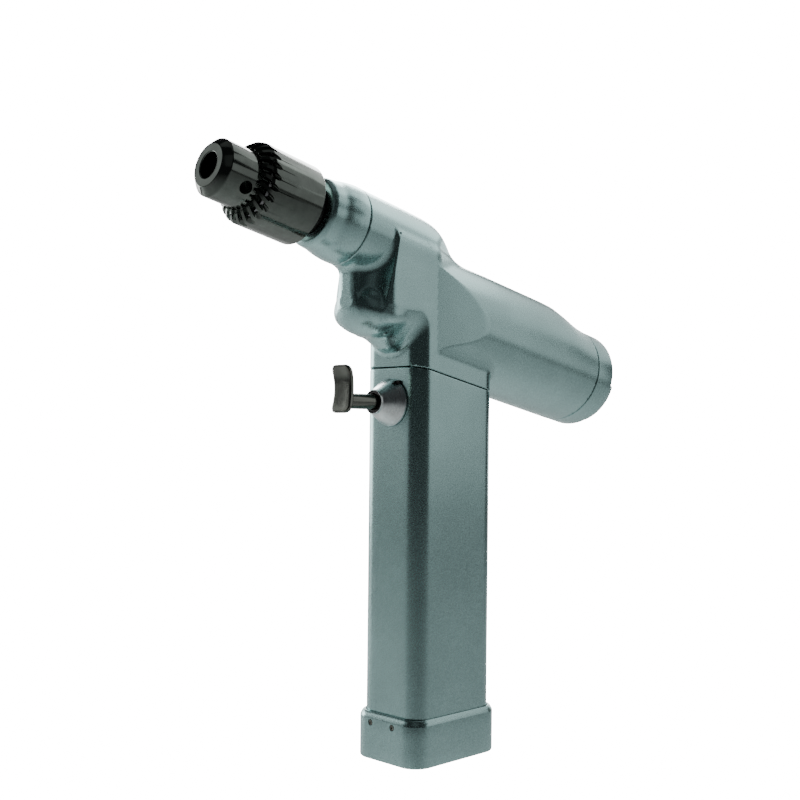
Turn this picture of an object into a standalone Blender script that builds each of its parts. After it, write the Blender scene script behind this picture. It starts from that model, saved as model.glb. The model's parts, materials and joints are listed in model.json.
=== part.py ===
"""Cordless surgical power drill with a keyed chuck, standing on its battery cap.

World frame in metres: +Z is up along the handle, the chuck points towards -Y, the drill's left side is +X.
The origin is the centre of the battery cap's flat foot.
Two tilted frames carry the barrel: in each of them local Z runs forward along the axis, local Y is the barrel's
upward normal and local X is the world's X. A place "s" is a distance forward of the handle's centre plane.
"""
import bpy
import bmesh
import math
from mathutils import Matrix, Vector

# General fits
GAP = 0.0003
RUN = 0.0003
OVERRUN = 0.0020
TURN_STEPS = 24
BORE_STEPS = 32

# Barrel frame
TILT = math.radians(11.4)
HEAD_HEIGHT = 0.0645

# Gears
TRANSFER_MODULE = 0.001
DRIVE_TEETH = 22
SPINDLE_TEETH = 23
PLANET_MODULE = 0.0008
SUN_TEETH = 12
PLANET_TEETH = 9
BACKLASH = 0.0002
GEAR_WIDTH = 0.007
GEAR_S = 0.016
PLANET_WIDTH = 0.008
PLANET_S = -0.011

# Main housing
GEAR_BARREL_R = 0.0151
MOTOR_BARREL_R = 0.0212
BACK_RISE = 0.0051
BACK_FRONT_S = 0.0010
BACK_REAR_S = -0.0640
SLOPE_TOP_S = 0.0150
SLOPE_DROP = 0.0007
GEAR_BARREL_SETBACK = 0.0013
DRIVE_POCKET_S = 0.0235
WELL_DEPTH = 0.0240
WELL_SHIFT = 0.0040
WELL_TOP_DROP = 0.0080
HOUSING_FRONT_S = 0.0536
HOUSING_REAR_S = -0.0874
FLAT_TAPER = math.radians(10.3)
FLAT_START_S = 0.0174
KEEL_REACH = 0.0243
KEEL_HALF_WIDTH = 0.0037
WEB_FOOT_DROP = 0.0082
WEB_FOOT_R = 0.0120
WEB_NOSE_R = 0.0116
WEB_TOP_SHARE = 0.85
SCOOP_EDGE_S = 0.0390
SCOOP_R = 0.0115
SCOOP_FOOT_H = -0.0040
BULGE_REACH = 0.0132
BULGE_RISE = 0.0011
BULGE_RADII = (0.0115, 0.0113, 0.0098)

# Handle and battery cap
HANDLE_W = 0.0322
CELL_MARGIN = 0.0023
HANDLE_R = 0.0070
HANDLE_WALL = 0.0018
SEAM_H = -0.0233
SPIGOT_LENGTH = 0.0045
SPIGOT_WALL = 0.0013
CAP_SIDE_LAND = 0.00175
CAP_END_LAND = 0.0023
CAP_CORNER_GROWTH = 0.0010
CAP_FOOT_ROUND = 0.0006
CAP_RIM = 0.0004
CAP_H = 0.0185
CAP_SHOULDER = 0.0020
CAP_FLOOR = 0.0030
CAP_LEDGE_Z = 0.0045
CAP_SEAL = 0.0012
PIN_R = 0.0011
PIN_LENGTH = 0.0017
PIN_ROUND = 0.0002
PIN_Z = 0.0146
PIN_SPACING = 0.0120
PIN_SHIFT_X = -0.0012

# Battery
CELL_R = 0.0091
CELL_LENGTH = 0.0500
CELL_BUTTON_R = 0.0028
CELL_BUTTON_H = 0.0008
STRIP_THICK = 0.0004
STRIP_SEAT = 0.0012
CONTACT_THICK = 0.0012
CELL_GAP = 0.0005
CELL_ROUND = 0.0008

# Nose and spindle
NOSE_FRONT_S = 0.0705
NOSE_MOUTH_R = 0.0095
NOSE_LIP_R = 0.0118
NOSE_NECK_R = 0.0134
NOSE_SPIGOT_R = 0.0127
NOSE_SPIGOT_S = 0.0415
FRONT_BEARING_S = 0.0445
FRONT_BEARING_W = 0.0060
FRONT_BEARING_R = 0.0103
RETAINER_WALL = 0.0014
SPINDLE_R = 0.0059
SPINDLE_SHOULDER_R = 0.0068
SPINDLE_GEAR_SEAT_R = 0.0044
SPINDLE_TAIL_R = 0.0039
REAR_BEARING_S = 0.0113
REAR_BEARING_W = 0.0042
REAR_BEARING_R = 0.0080
SPACER_R = 0.0091
SPACER_NECK_R = 0.0080
SPACER_STEP_S = 0.0625

# Chuck
CHUCK_FACE_S = 0.1165
CHUCK_LENGTH = 0.0395
CHUCK_R = 0.0105
CHUCK_FACE_R = 0.0078
CHUCK_CHAMFER = 0.0025
NUT_SEAT_DEPTH = 0.0014
CHUCK_BORE_R = 0.0047
CHUCK_BORE_DEPTH = 0.0230
CHUCK_WEB = 0.0020
CHUCK_PILOT_R = 0.0021
KEY_HOLE_R = 0.0024
KEY_HOLE_DEPTH = 0.0107
KEY_HOLE_FLOOR = 0.0018
KEY_HOLE_ANGLE = math.radians(-32.0)
SLEEVE_R = 0.0150
SLEEVE_WALL = 0.0014
SLEEVE_FRONT_S = 0.1025
SLEEVE_OUTER_FRONT_S = 0.0991
SLEEVE_REAR_S = 0.0761
SLEEVE_ROUND = 0.0012
KEY_TEETH = 24
KEY_SLOT_END_S = 0.0984
KEY_SLOT_R = 0.0011
KEY_SLOT_SWEEP = math.radians(9.0)
JAW_R = 0.0019
JAW_LENGTH = 0.0175
JAW_ROUND = 0.0004
JAW_TILT = math.radians(20.0)
JAW_AIM_R = 0.0009
JAW_TIP_DEPTH = 0.0110
JAW_OPEN_R = 0.0040
JAW_CLOSED_R = 0.00075
JAW_ANGLE = math.radians(28.0)
NUT_DEPTH = 0.0170
NUT_LENGTH = 0.0050
NUT_THREAD = 0.0003

# Gearbox and motor
GEARBOX_R = 0.0152
GEARBOX_FRONT_S = 0.0093
GEARBOX_REAR_S = -0.0120
GEARBOX_PLATE_S = 0.0010
OUTPUT_SHAFT_R = 0.0040
BUSH_R = 0.0072
BUSH_LENGTH = 0.0070
CARRIER_THICK = 0.0030
CARRIER_R = 0.0108
PLANET_PIN_R = 0.0013
MOTOR_SHAFT_R = 0.0015
MOTOR_R = 0.0190
MOTOR_LENGTH = 0.0637
MOTOR_WALL = 0.0014
MOTOR_BELL = 0.0037
STATOR_BORE_R = 0.0113
STATOR_MARGIN = 0.0020
STATOR_MOUTH = 0.0013
ROTOR_HUB = 0.0010
ROTOR_R = 0.0108
ROTOR_BORE_R = 0.0040
ROTOR_MARGIN = 0.0060
MOTOR_BEARING_R = 0.0045
MOTOR_BEARING_W = 0.0022

# Rear cover
COVER_FACE_S = -0.0990
COVER_R = 0.0211
COVER_ROUND = 0.0022
COVER_SPIGOT_WALL = 0.0024
GROOVE_SETBACK = 0.0020
COVER_HOLLOW = 0.0020
GRIP_WIDTH = 0.0200
GRIP_END_R = 0.0196
GRIP_HEIGHT = 0.0032
GRIP_ROUND = 0.0009
GRIP_DRAW_IN = 0.94
GRIP_ANGLE = math.radians(-40.0)
O_RING_WIRE = 0.0008

# Trigger
TRIGGER_DROP = 0.0330
PLATE_REACH = 0.0277
PLATE_THICK = 0.0022
PLATE_LOW = 0.0047
PLATE_HIGH = 0.0136
PLATE_END_W = 0.0102
PLATE_WAIST_W = 0.0092
PLATE_DISH = 0.0007
PLATE_ROUND = 0.0007
STEM_R = 0.0030
STEM_TAIL_R = 0.0018
STEM_TAIL_DEPTH = 0.0153
COLLAR_R = 0.0041
COLLAR_LENGTH = 0.0015
BOSS_REACH = 0.0095
BOSS_RING_R = 0.0047
BOSS_RING_H = 0.0008
BOSS_STEP = 0.0003
BOSS_BASE_R = 0.0093
BOSS_RIM = 0.0007
BOSS_TUBE_R = 0.0060
BOSS_TUBE_DEPTH = 0.0139
CHAMBER_R = 0.0044
CHAMBER_DEPTH = 0.0005
WIPER_R = 0.0041
WIPER_LENGTH = 0.0014
PLUG_LENGTH = 0.0018
BOSS_NUT_R = 0.0080
BOSS_NUT_LENGTH = 0.0030
SPRING_WIRE_R = 0.00035
SPRING_TURNS = 5
LOCK_PIN_R = 0.0010
LOCK_PIN_ANGLE = math.radians(57.0)
LOCK_PIN_PROUD = 0.0004
LOCK_PIN_INSET = 0.0003
MAGNET_LENGTH = 0.0020

# Controller board
BOARD_Y = 0.0050
BOARD_THICK = 0.0016
BOARD_BELOW = 0.0234
BOARD_ABOVE = 0.0026
SENSOR_SIZE = 0.0040
SENSOR_THICK = 0.0015

# Sizes that follow from those above
HANDLE_D = 4 * CELL_R + 2 * (HANDLE_WALL + CELL_MARGIN)
CAP_W = HANDLE_W + 2 * CAP_SIDE_LAND
CAP_D = HANDLE_D + 2 * CAP_END_LAND
CAP_R = HANDLE_R + CAP_CORNER_GROWTH
CELL_BASE_Z = CAP_FLOOR + STRIP_SEAT + STRIP_THICK + 2 * GAP
HOLDER_TOP_Z = CELL_BASE_Z + 2 * (CELL_LENGTH + CELL_BUTTON_H) + 2 * GAP
BATTERY_TOP_Z = HOLDER_TOP_Z + GAP + CONTACT_THICK
MOTOR_HEIGHT = BATTERY_TOP_Z + HEAD_HEIGHT
TRIGGER_Z = MOTOR_HEIGHT - TRIGGER_DROP
WEB_FOOT_Z = MOTOR_HEIGHT - WEB_FOOT_DROP
KEEL_FRONT_Y = -HANDLE_D / 2 - KEEL_REACH
BULGE_CENTRE_Y = -HANDLE_D / 2 - BULGE_REACH
BULGE_CENTRE_Z = MOTOR_HEIGHT + BULGE_RISE
PLATE_FRONT_Y = -HANDLE_D / 2 - PLATE_REACH
BOSS_FRONT_Y = -HANDLE_D / 2 - BOSS_REACH
CHAMBER_FRONT_Y = -HANDLE_D / 2 + CHAMBER_DEPTH
BOSS_TUBE_END_Y = -HANDLE_D / 2 + BOSS_TUBE_DEPTH
STEM_TAIL_Y = -HANDLE_D / 2 + STEM_TAIL_DEPTH
NUT_SEAT_R = CHUCK_R - NUT_SEAT_DEPTH
AXIS_DISTANCE = TRANSFER_MODULE * (DRIVE_TEETH + SPINDLE_TEETH) / 2
RING_TEETH = SUN_TEETH + 2 * PLANET_TEETH
PLANET_ORBIT_R = PLANET_MODULE * (SUN_TEETH + PLANET_TEETH) / 2
BACK_R = MOTOR_BARREL_R + BACK_RISE
GEAR_BARREL_TOP = AXIS_DISTANCE + GEAR_BARREL_R
SEAM_Z = MOTOR_HEIGHT + SEAM_H / math.cos(TILT)
GEAR_BORE_R = TRANSFER_MODULE * (SPINDLE_TEETH / 2 + 1) + 2 * RUN
DRIVE_POCKET_R = TRANSFER_MODULE * (DRIVE_TEETH / 2 + 1) + 2 * RUN
MOTOR_BORE_R = MOTOR_R + GAP
MOTOR_FRONT_S = GEARBOX_REAR_S - GAP
MOTOR_REAR_S = MOTOR_FRONT_S - MOTOR_LENGTH


def clear_scene():
    for item in list(bpy.data.objects):
        bpy.data.objects.remove(item, do_unlink=True)


def make_collection(name):
    collection = bpy.data.collections.new(name)
    bpy.context.scene.collection.children.link(collection)
    return collection


def make_material(name, colour, metallic, roughness):
    material = bpy.data.materials.new(name)
    material.use_nodes = True
    shader = material.node_tree.nodes["Principled BSDF"]
    shader.inputs["Base Color"].default_value = (*colour, 1.0)
    shader.inputs["Metallic"].default_value = metallic
    shader.inputs["Roughness"].default_value = roughness
    return material


clear_scene()
DRILL = make_collection("surgical_drill")
CUTTERS = make_collection("cutters")

BLASTED = make_material("bead_blasted_aluminium", (0.42, 0.46, 0.46), 0.9, 0.42)
CHUCK_STEEL = make_material("turned_stainless_steel", (0.35, 0.34, 0.32), 1.0, 0.3)
GEAR_STEEL = make_material("hardened_gear_steel", (0.30, 0.30, 0.31), 1.0, 0.35)
BEARING_STEEL = make_material("ground_bearing_steel", (0.62, 0.62, 0.63), 1.0, 0.18)
TRIGGER_STEEL = make_material("polished_gunmetal_steel", (0.16, 0.17, 0.16), 1.0, 0.22)
BOSS_METAL = make_material("turned_aluminium", (0.66, 0.68, 0.69), 1.0, 0.3)
BLACK_RUBBER = make_material("black_silicone_rubber", (0.015, 0.015, 0.015), 0.0, 0.6)
BRONZE = make_material("sintered_bronze", (0.42, 0.27, 0.13), 1.0, 0.4)
WINDING = make_material("enamelled_copper", (0.45, 0.16, 0.06), 0.7, 0.4)
MAGNET = make_material("nickel_plated_magnet", (0.5, 0.5, 0.48), 1.0, 0.3)
CELL_WRAP = make_material("shrink_wrapped_cell", (0.05, 0.16, 0.32), 0.0, 0.4)
HOLDER_PLASTIC = make_material("moulded_black_nylon", (0.03, 0.03, 0.032), 0.0, 0.5)
NICKEL = make_material("nickel_strip", (0.6, 0.58, 0.53), 1.0, 0.3)
BOARD_GREEN = make_material("solder_masked_board", (0.02, 0.13, 0.06), 0.0, 0.4)


def make_frame(name, location, tilt):
    frame = bpy.data.objects.new(name, None)
    frame.location = location
    frame.rotation_euler = (math.pi / 2 - tilt, 0.0, 0.0)
    DRILL.objects.link(frame)
    bpy.context.view_layer.update()
    return frame


MOTOR_FRAME = make_frame("motor_axis", (0.0, 0.0, MOTOR_HEIGHT), TILT)
SPINDLE_FRAME = make_frame(
    "spindle_axis",
    (0.0, AXIS_DISTANCE * math.sin(TILT), MOTOR_HEIGHT + AXIS_DISTANCE * math.cos(TILT)),
    TILT,
)
TRIGGER_FRAME = make_frame("trigger_axis", (0.0, 0.0, TRIGGER_Z), 0.0)


def place(name, mesh, material, frame=None, offset=(0.0, 0.0, 0.0), turn=None, cutter=False):
    """Wrap a mesh in a named object and hang it on its frame."""
    item = bpy.data.objects.new(name, mesh)
    (CUTTERS if cutter else DRILL).objects.link(item)
    if material:
        mesh.materials.append(material)
    if frame:
        item.parent = frame
    item.location = offset
    if turn:
        item.rotation_euler = turn
    if cutter:
        item.hide_render = True
        item.display_type = "WIRE"
    return item


def smooth(item, angle=32.0):
    item.data.shade_smooth()
    item.data.set_sharp_from_angle(angle=math.radians(angle))
    return item


def mesh_from(name, verts, faces):
    mesh = bpy.data.meshes.new(name)
    mesh.from_pydata(verts, [], faces)
    work = bmesh.new()
    work.from_mesh(mesh)
    bmesh.ops.recalc_face_normals(work, faces=work.faces)
    work.to_mesh(mesh)
    work.free()
    return mesh


def turned(name, profile, material, frame, ring=False, steps=TURN_STEPS, cutter=False, offset=(0.0, 0.0, 0.0)):
    """Revolve a profile of (radius, s) points: down the outer side and, in a ring, back up the inner."""
    mesh = bpy.data.meshes.new(name)
    edges = [(i, i + 1) for i in range(len(profile) - 1)]
    if ring:
        edges.append((len(profile) - 1, 0))
    mesh.from_pydata([(r, 0.0, s) for r, s in profile], edges, [])
    item = place(name, mesh, material, frame, offset, cutter=cutter)
    screw = item.modifiers.new("turn", "SCREW")
    screw.axis = "Z"
    screw.angle = math.tau
    screw.steps = steps
    screw.render_steps = steps
    screw.use_merge_vertices = True
    screw.merge_threshold = 0.00001
    screw.use_smooth_shade = True
    return item


def arc(centre_r, centre_s, radius, start, end, count):
    """Points of (radius, s) on an arc, both ends included, angles in degrees from the outward direction."""
    step = (end - start) / count
    angles = [math.radians(start + step * i) for i in range(count + 1)]
    return [(centre_r + radius * math.cos(a), centre_s + radius * math.sin(a)) for a in angles]


def rounded_rectangle(width, depth, radius, corner_steps=5):
    """Outline of a rectangle with round corners, centred, counter-clockwise."""
    outline = []
    corners = ((1, 1, 0), (-1, 1, 90), (-1, -1, 180), (1, -1, 270))
    for sx, sy, start in corners:
        cx = sx * (width / 2 - radius)
        cy = sy * (depth / 2 - radius)
        for i in range(corner_steps + 1):
            a = math.radians(start + 90.0 * i / corner_steps)
            outline.append((cx + radius * math.cos(a), cy + radius * math.sin(a)))
    return outline


def circle(radius, count, start=0.0):
    angles = [start + math.tau * i / count for i in range(count)]
    return [(radius * math.cos(a), radius * math.sin(a)) for a in angles]


def stacked(name, levels):
    """Closed mesh through outlines of equal count at rising heights: a list of (outline, z)."""
    count = len(levels[0][0])
    verts = [(x, y, z) for outline, z in levels for x, y in outline]
    faces = []
    for level in range(len(levels) - 1):
        low = level * count
        for i in range(count):
            j = (i + 1) % count
            faces.append((low + i, low + j, low + count + j, low + count + i))
    faces.append(tuple(reversed(range(count))))
    faces.append(tuple(range(len(verts) - count, len(verts))))
    return mesh_from(name, verts, faces)


def tube(name, outer_levels, inner_levels):
    """Closed ring mesh: outer outlines from bottom to top and inner ones from bottom to top, of equal count."""
    count = len(outer_levels[0][0])
    rings = outer_levels + list(reversed(inner_levels))
    verts = [(x, y, z) for outline, z in rings for x, y in outline]
    faces = []
    for level in range(len(rings)):
        low = level * count
        high = ((level + 1) % len(rings)) * count
        for i in range(count):
            j = (i + 1) % count
            faces.append((low + i, low + j, high + j, high + i))
    return mesh_from(name, verts, faces)


def box_mesh(name, low, high):
    work = bmesh.new()
    bmesh.ops.create_cube(work, size=1.0)
    size = [b - a for a, b in zip(low, high)]
    centre = [(a + b) / 2 for a, b in zip(low, high)]
    bmesh.ops.scale(work, vec=size, verts=work.verts)
    bmesh.ops.translate(work, vec=centre, verts=work.verts)
    mesh = bpy.data.meshes.new(name)
    work.to_mesh(mesh)
    work.free()
    return mesh


def rod_cutter(name, radius, low, high, frame, offset=(0.0, 0.0, 0.0), turn=None,
               steps=BORE_STEPS):
    """A cylinder along local Z from low to high, as a cutter."""
    work = bmesh.new()
    bmesh.ops.create_cone(work, cap_ends=True, segments=steps, radius1=radius, radius2=radius, depth=high - low)
    bmesh.ops.translate(work, vec=(0.0, 0.0, (low + high) / 2), verts=work.verts)
    mesh = bpy.data.meshes.new(name)
    work.to_mesh(mesh)
    work.free()
    return place(name, mesh, None, frame, offset, turn, cutter=True)


def cut(item, cutter, operation="DIFFERENCE"):
    boolean = item.modifiers.new(operation.lower() + "_" + cutter.name, "BOOLEAN")
    boolean.operation = operation
    boolean.object = cutter
    boolean.solver = "EXACT"
    return boolean


def gear_outline(teeth, module, first_tooth, internal=False):
    """Toothed outline with four points a tooth; internal teeth have their tip inside the pitch circle."""
    pitch_r = module * teeth / 2
    base_r = pitch_r * math.cos(math.radians(20.0))
    tip_r = pitch_r + (-0.9 if internal else 0.95) * module
    root_r = pitch_r + (1.25 if internal else -1.25) * module
    half_pitch = (math.pi * module / 2 - BACKLASH) / (2 * pitch_r)

    def involute(r):
        pressure = math.acos(min(1.0, base_r / max(r, base_r)))
        return math.tan(pressure) - pressure

    def half_angle(r):
        drift = involute(pitch_r) - involute(r)
        return half_pitch - drift if internal else half_pitch + drift

    outline = []
    for tooth in range(teeth):
        middle = first_tooth + math.tau * tooth / teeth
        flank = [(r, half_angle(r)) for r in (root_r, tip_r)]
        for r, half in flank:
            outline.append((r * math.cos(middle - half), r * math.sin(middle - half)))
        for r, half in reversed(flank):
            outline.append((r * math.cos(middle + half), r * math.sin(middle + half)))
    return outline


def spur_gear(name, teeth, module, first_tooth, low, width, bore_r, frame, offset=(0.0, 0.0, 0.0)):
    outline = gear_outline(teeth, module, first_tooth)
    gear = place(name, stacked(name, [(outline, low), (outline, low + width)]), GEAR_STEEL, frame, offset)
    cut(gear, rod_cutter(name + "_bore", bore_r, low - OVERRUN, low + width + OVERRUN, frame, offset, steps=20))
    return smooth(gear, 28.0)


def ball_bearing(prefix, frame, low, width, bore_r, outer_r, balls):
    """Outer ring, inner ring and a cage that carries its balls, with the balls running free in both grooves."""
    pitch_r = (bore_r + outer_r) / 2
    ball_r = 0.27 * (outer_r - bore_r)
    groove_r = ball_r + GAP
    land = 0.6 * groove_r
    middle = low + width / 2
    high = low + width
    half = math.degrees(math.acos(land / groove_r))
    groove_out = arc(pitch_r, middle, groove_r, -half, half, 2)
    groove_in = arc(pitch_r, middle, groove_r, 180.0 - half, 180.0 + half, 2)
    outer = [(outer_r, high), (outer_r, low), (pitch_r + land, low), *groove_out, (pitch_r + land, high)]
    inner = [(pitch_r - land, high), *groove_in, (pitch_r - land, low), (bore_r, low), (bore_r, high)]
    turned(prefix + "_outer_ring", outer, BEARING_STEEL, frame, ring=True)
    turned(prefix + "_inner_ring", inner, BEARING_STEEL, frame, ring=True)
    work = bmesh.new()
    cage_half = 0.45 * ball_r
    section = [(pitch_r + cage_half, middle + cage_half), (pitch_r + cage_half, middle - cage_half),
               (pitch_r - cage_half, middle - cage_half), (pitch_r - cage_half, middle + cage_half)]
    cage = turned(prefix + "_ball_cage", section, BEARING_STEEL, frame, ring=True, steps=balls * 2)
    for ball in range(balls):
        angle = math.tau * (ball + 0.13) / balls
        centre = Matrix.Translation((pitch_r * math.cos(angle), pitch_r * math.sin(angle), middle))
        bmesh.ops.create_uvsphere(work, u_segments=6, v_segments=4, radius=ball_r, matrix=centre)
    mesh = bpy.data.meshes.new(prefix + "_balls")
    work.to_mesh(mesh)
    work.free()
    cut(cage, place(prefix + "_balls", mesh, None, frame, cutter=True), "UNION")


def back_radius(s):
    """Half height of the barrel's upper side: gear barrel top, slope, raised back, then round at the rear."""
    if s >= SLOPE_TOP_S:
        return GEAR_BARREL_TOP - SLOPE_DROP
    if s >= BACK_FRONT_S:
        share = (s - BACK_FRONT_S) / (SLOPE_TOP_S - BACK_FRONT_S)
        return BACK_R + (GEAR_BARREL_TOP - SLOPE_DROP - BACK_R) * share
    if s >= BACK_REAR_S:
        return BACK_R
    share = (BACK_REAR_S - s) / (BACK_REAR_S - HOUSING_REAR_S)
    return MOTOR_BARREL_R + BACK_RISE * (1.0 - math.sin(share * math.pi / 2))


def barrel_section(s, count):
    """Round below the motor axis, an ellipse above it whose height follows the back."""
    rise = back_radius(s)
    outline = []
    for i in range(count):
        a = math.tau * i / count
        height = rise if math.sin(a) > 0.0 else MOTOR_BARREL_R
        outline.append((MOTOR_BARREL_R * math.cos(a), height * math.sin(a)))
    return outline


def make_barrel(name):
    """Loft of the motor barrel, cut to its widening side flats."""
    rear = [HOUSING_REAR_S + (BACK_REAR_S - HOUSING_REAR_S) * i / 4 for i in range(5)]
    top = [BACK_FRONT_S, SLOPE_TOP_S, SLOPE_TOP_S + 2 * OVERRUN]
    levels = [(barrel_section(s, 48), s) for s in rear + top]
    barrel = place(name, stacked(name, levels), None, MOTOR_FRAME, cutter=True)
    for side in (-1, 1):
        reach = 2 * MOTOR_BARREL_R
        low = (min(0.0, side * reach), -reach, -reach)
        mesh = box_mesh("flat_cutter", low, (max(0.0, side * reach), reach, reach))
        flat = place("flat_cutter_" + ("left" if side > 0 else "right"), mesh, None, MOTOR_FRAME,
                     (side * HANDLE_W / 2, 0.0, FLAT_START_S), (0.0, -side * FLAT_TAPER, 0.0), cutter=True)
        cut(barrel, flat)
    return barrel


def make_web(name):
    """The block below the gear barrel: flat sides and a round foot that draws in through a round nose."""
    half = HANDLE_W / 2
    core = half - WEB_FOOT_R
    centre_z = WEB_FOOT_Z + WEB_FOOT_R
    top_z = MOTOR_HEIGHT + AXIS_DISTANCE * WEB_TOP_SHARE
    quarter = 6
    levels = []
    for k in range(quarter + 2):
        turn = min(k, quarter) * math.pi / 2 / quarter
        y = KEEL_FRONT_Y + WEB_NOSE_R * (1 - math.cos(turn)) if k <= quarter else -OVERRUN
        foot_r = WEB_FOOT_R - WEB_NOSE_R * (1 - math.sin(turn))
        foot = [(core + x, z) for x, z in arc(0.0, 0.0, foot_r, 0.0, -90.0, 8)]
        foot += [(x - core, z) for x, z in arc(0.0, 0.0, foot_r, -90.0, -180.0, 8)]
        drawn = [(half, 0.0)] + foot[1:-1] + [(-half, 0.0)]
        outline = [(half, top_z)] + [(x, centre_z + z) for x, z in drawn] + [(-half, top_z)]
        levels.append((outline, y))
    mesh = stacked(name, levels)
    mesh.transform(Matrix(((1, 0, 0, 0), (0, 0, 1, 0), (0, 1, 0, 0), (0, 0, 0, 1))))
    mesh.flip_normals()
    return place(name, mesh, None, cutter=True)


def scoop_cutter(side):
    """A finger scoop: an upright round cutter through the keel's edge and the flat's edge."""
    foot_forward = -KEEL_FRONT_Y / math.cos(TILT) + SCOOP_FOOT_H * math.tan(TILT)
    front_x = KEEL_HALF_WIDTH
    rear_x = HANDLE_W / 2
    middle = Vector(((front_x + rear_x) / 2, (foot_forward + SCOOP_EDGE_S) / 2))
    chord = Vector((rear_x - front_x, SCOOP_EDGE_S - foot_forward))
    out = Vector((-chord.y, chord.x)).normalized()
    if out.y < 0:
        out = -out
    centre = middle + out * math.sqrt(SCOOP_R ** 2 - (chord.length / 2) ** 2)
    name = "scoop_cutter_" + ("left" if side > 0 else "right")
    return rod_cutter(name, SCOOP_R, -AXIS_DISTANCE, AXIS_DISTANCE * 1.5, MOTOR_FRAME,
                      (side * centre.x, 0.0, centre.y), (-math.pi / 2, 0.0, 0.0))


def make_bulge(name):
    """Rounded bulge that closes the scoops' lower ends."""
    work = bmesh.new()
    bmesh.ops.create_uvsphere(work, u_segments=24, v_segments=12, radius=1.0)
    bmesh.ops.scale(work, vec=BULGE_RADII, verts=work.verts)
    mesh = bpy.data.meshes.new(name)
    work.to_mesh(mesh)
    work.free()
    return place(name, mesh, None, offset=(0.0, BULGE_CENTRE_Y, BULGE_CENTRE_Z), cutter=True)


def seam_cutter(name, height, above):
    """A large block above or below the seam plane, which lies parallel to the barrel."""
    size = 0.2
    low = height if above else height - size
    mesh = box_mesh(name, (-size / 2, low, -size / 2), (size / 2, low + size, size / 2))
    return place(name, mesh, None, MOTOR_FRAME, cutter=True)


def make_main_housing():
    outer = rounded_rectangle(HANDLE_W, HANDLE_D, HANDLE_R)
    neck_top = MOTOR_HEIGHT + 2 * OVERRUN
    mesh = stacked("main_housing", [(outer, SEAM_Z - HANDLE_D / 3), (outer, neck_top)])
    housing = place("main_housing", mesh, BLASTED)
    cut(housing, seam_cutter("neck_trim", SEAM_H + GAP / 2, False))
    web = make_web("web_block")
    for side in (-1, 1):
        cut(web, scoop_cutter(side))
    cut(web, make_bulge("bulge_block"), "UNION")
    cut(housing, web, "UNION")
    cut(housing, make_barrel("barrel_block"), "UNION")
    gear_barrel = rod_cutter("gear_barrel_block", GEAR_BARREL_R, SLOPE_TOP_S + GEAR_BARREL_SETBACK,
                             HOUSING_FRONT_S, SPINDLE_FRAME, steps=48)
    cut(housing, gear_barrel, "UNION")
    # bores, from the rear and from the front
    case_top = GEARBOX_FRONT_S + GAP
    motor_bore = [(0.0, DRIVE_POCKET_S), (DRIVE_POCKET_R, DRIVE_POCKET_S), (DRIVE_POCKET_R, case_top),
                  (GEARBOX_R + GAP, case_top), (GEARBOX_R + GAP, MOTOR_FRONT_S + GAP),
                  (MOTOR_BORE_R, MOTOR_FRONT_S + GAP), (MOTOR_BORE_R, HOUSING_REAR_S - OVERRUN),
                  (0.0, HOUSING_REAR_S - OVERRUN)]
    cut(housing, turned("motor_bore", motor_bore, None, MOTOR_FRAME, cutter=True))
    seat = REAR_BEARING_R + GAP
    spindle_bore = [(0.0, HOUSING_FRONT_S + OVERRUN), (GEAR_BORE_R, HOUSING_FRONT_S + OVERRUN),
                    (GEAR_BORE_R, REAR_BEARING_S + REAR_BEARING_W), (seat, REAR_BEARING_S + REAR_BEARING_W),
                    (seat, REAR_BEARING_S - GAP), (0.0, REAR_BEARING_S - GAP)]
    cut(housing, turned("spindle_bore", spindle_bore, None, SPINDLE_FRAME, cutter=True))
    inner = rounded_rectangle(HANDLE_W - 2 * HANDLE_WALL - WELL_SHIFT, WELL_DEPTH, WELL_SHIFT)
    levels = [(inner, SEAM_Z - WELL_DEPTH), (inner, MOTOR_HEIGHT - WELL_TOP_DROP)]
    well = place("neck_well", stacked("neck_well", levels), None, offset=(0.0, WELL_SHIFT, 0.0), cutter=True)
    cut(housing, well)
    # spigot that enters the handle
    fit = HANDLE_WALL + GAP
    out = rounded_rectangle(HANDLE_W - 2 * fit, HANDLE_D - 2 * fit, HANDLE_R - fit)
    thin = fit + SPIGOT_WALL
    bore = rounded_rectangle(HANDLE_W - 2 * thin, HANDLE_D - 2 * thin, HANDLE_R - thin)
    low = SEAM_Z - HANDLE_D / 2
    high = SEAM_Z + HANDLE_D / 4
    spigot = place("spigot_ring", tube("spigot_ring", [(out, low), (out, high)], [(bore, low), (bore, high)]),
                   None, cutter=True)
    cut(spigot, seam_cutter("spigot_trim", SEAM_H - SPIGOT_LENGTH, False))
    cut(spigot, seam_cutter("spigot_top_trim", SEAM_H + OVERRUN / 2, True))
    cut(housing, spigot, "UNION")
    smooth(housing, 35.0)
    return housing


def make_nose_housing():
    outer = [(NOSE_MOUTH_R, NOSE_FRONT_S), (NOSE_LIP_R, NOSE_FRONT_S)]
    shape = ((0.0006, 0.0129), (0.0020, NOSE_NECK_R), (0.0050, 0.0137), (0.0085, 0.0145),
             (0.0125, GEAR_BARREL_R))
    outer += [(radius, NOSE_FRONT_S - back) for back, radius in shape]
    outer.append((GEAR_BARREL_R, HOUSING_FRONT_S + GAP))
    outer += [(NOSE_SPIGOT_R, HOUSING_FRONT_S + GAP), (NOSE_SPIGOT_R, NOSE_SPIGOT_S)]
    seat = FRONT_BEARING_R + GAP
    stop = FRONT_BEARING_S + FRONT_BEARING_W + GAP
    inner = [(seat, NOSE_SPIGOT_S), (seat, stop), (NOSE_MOUTH_R, stop)]
    return turned("nose_housing", outer + inner, BLASTED, SPINDLE_FRAME, ring=True, steps=36)


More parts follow.
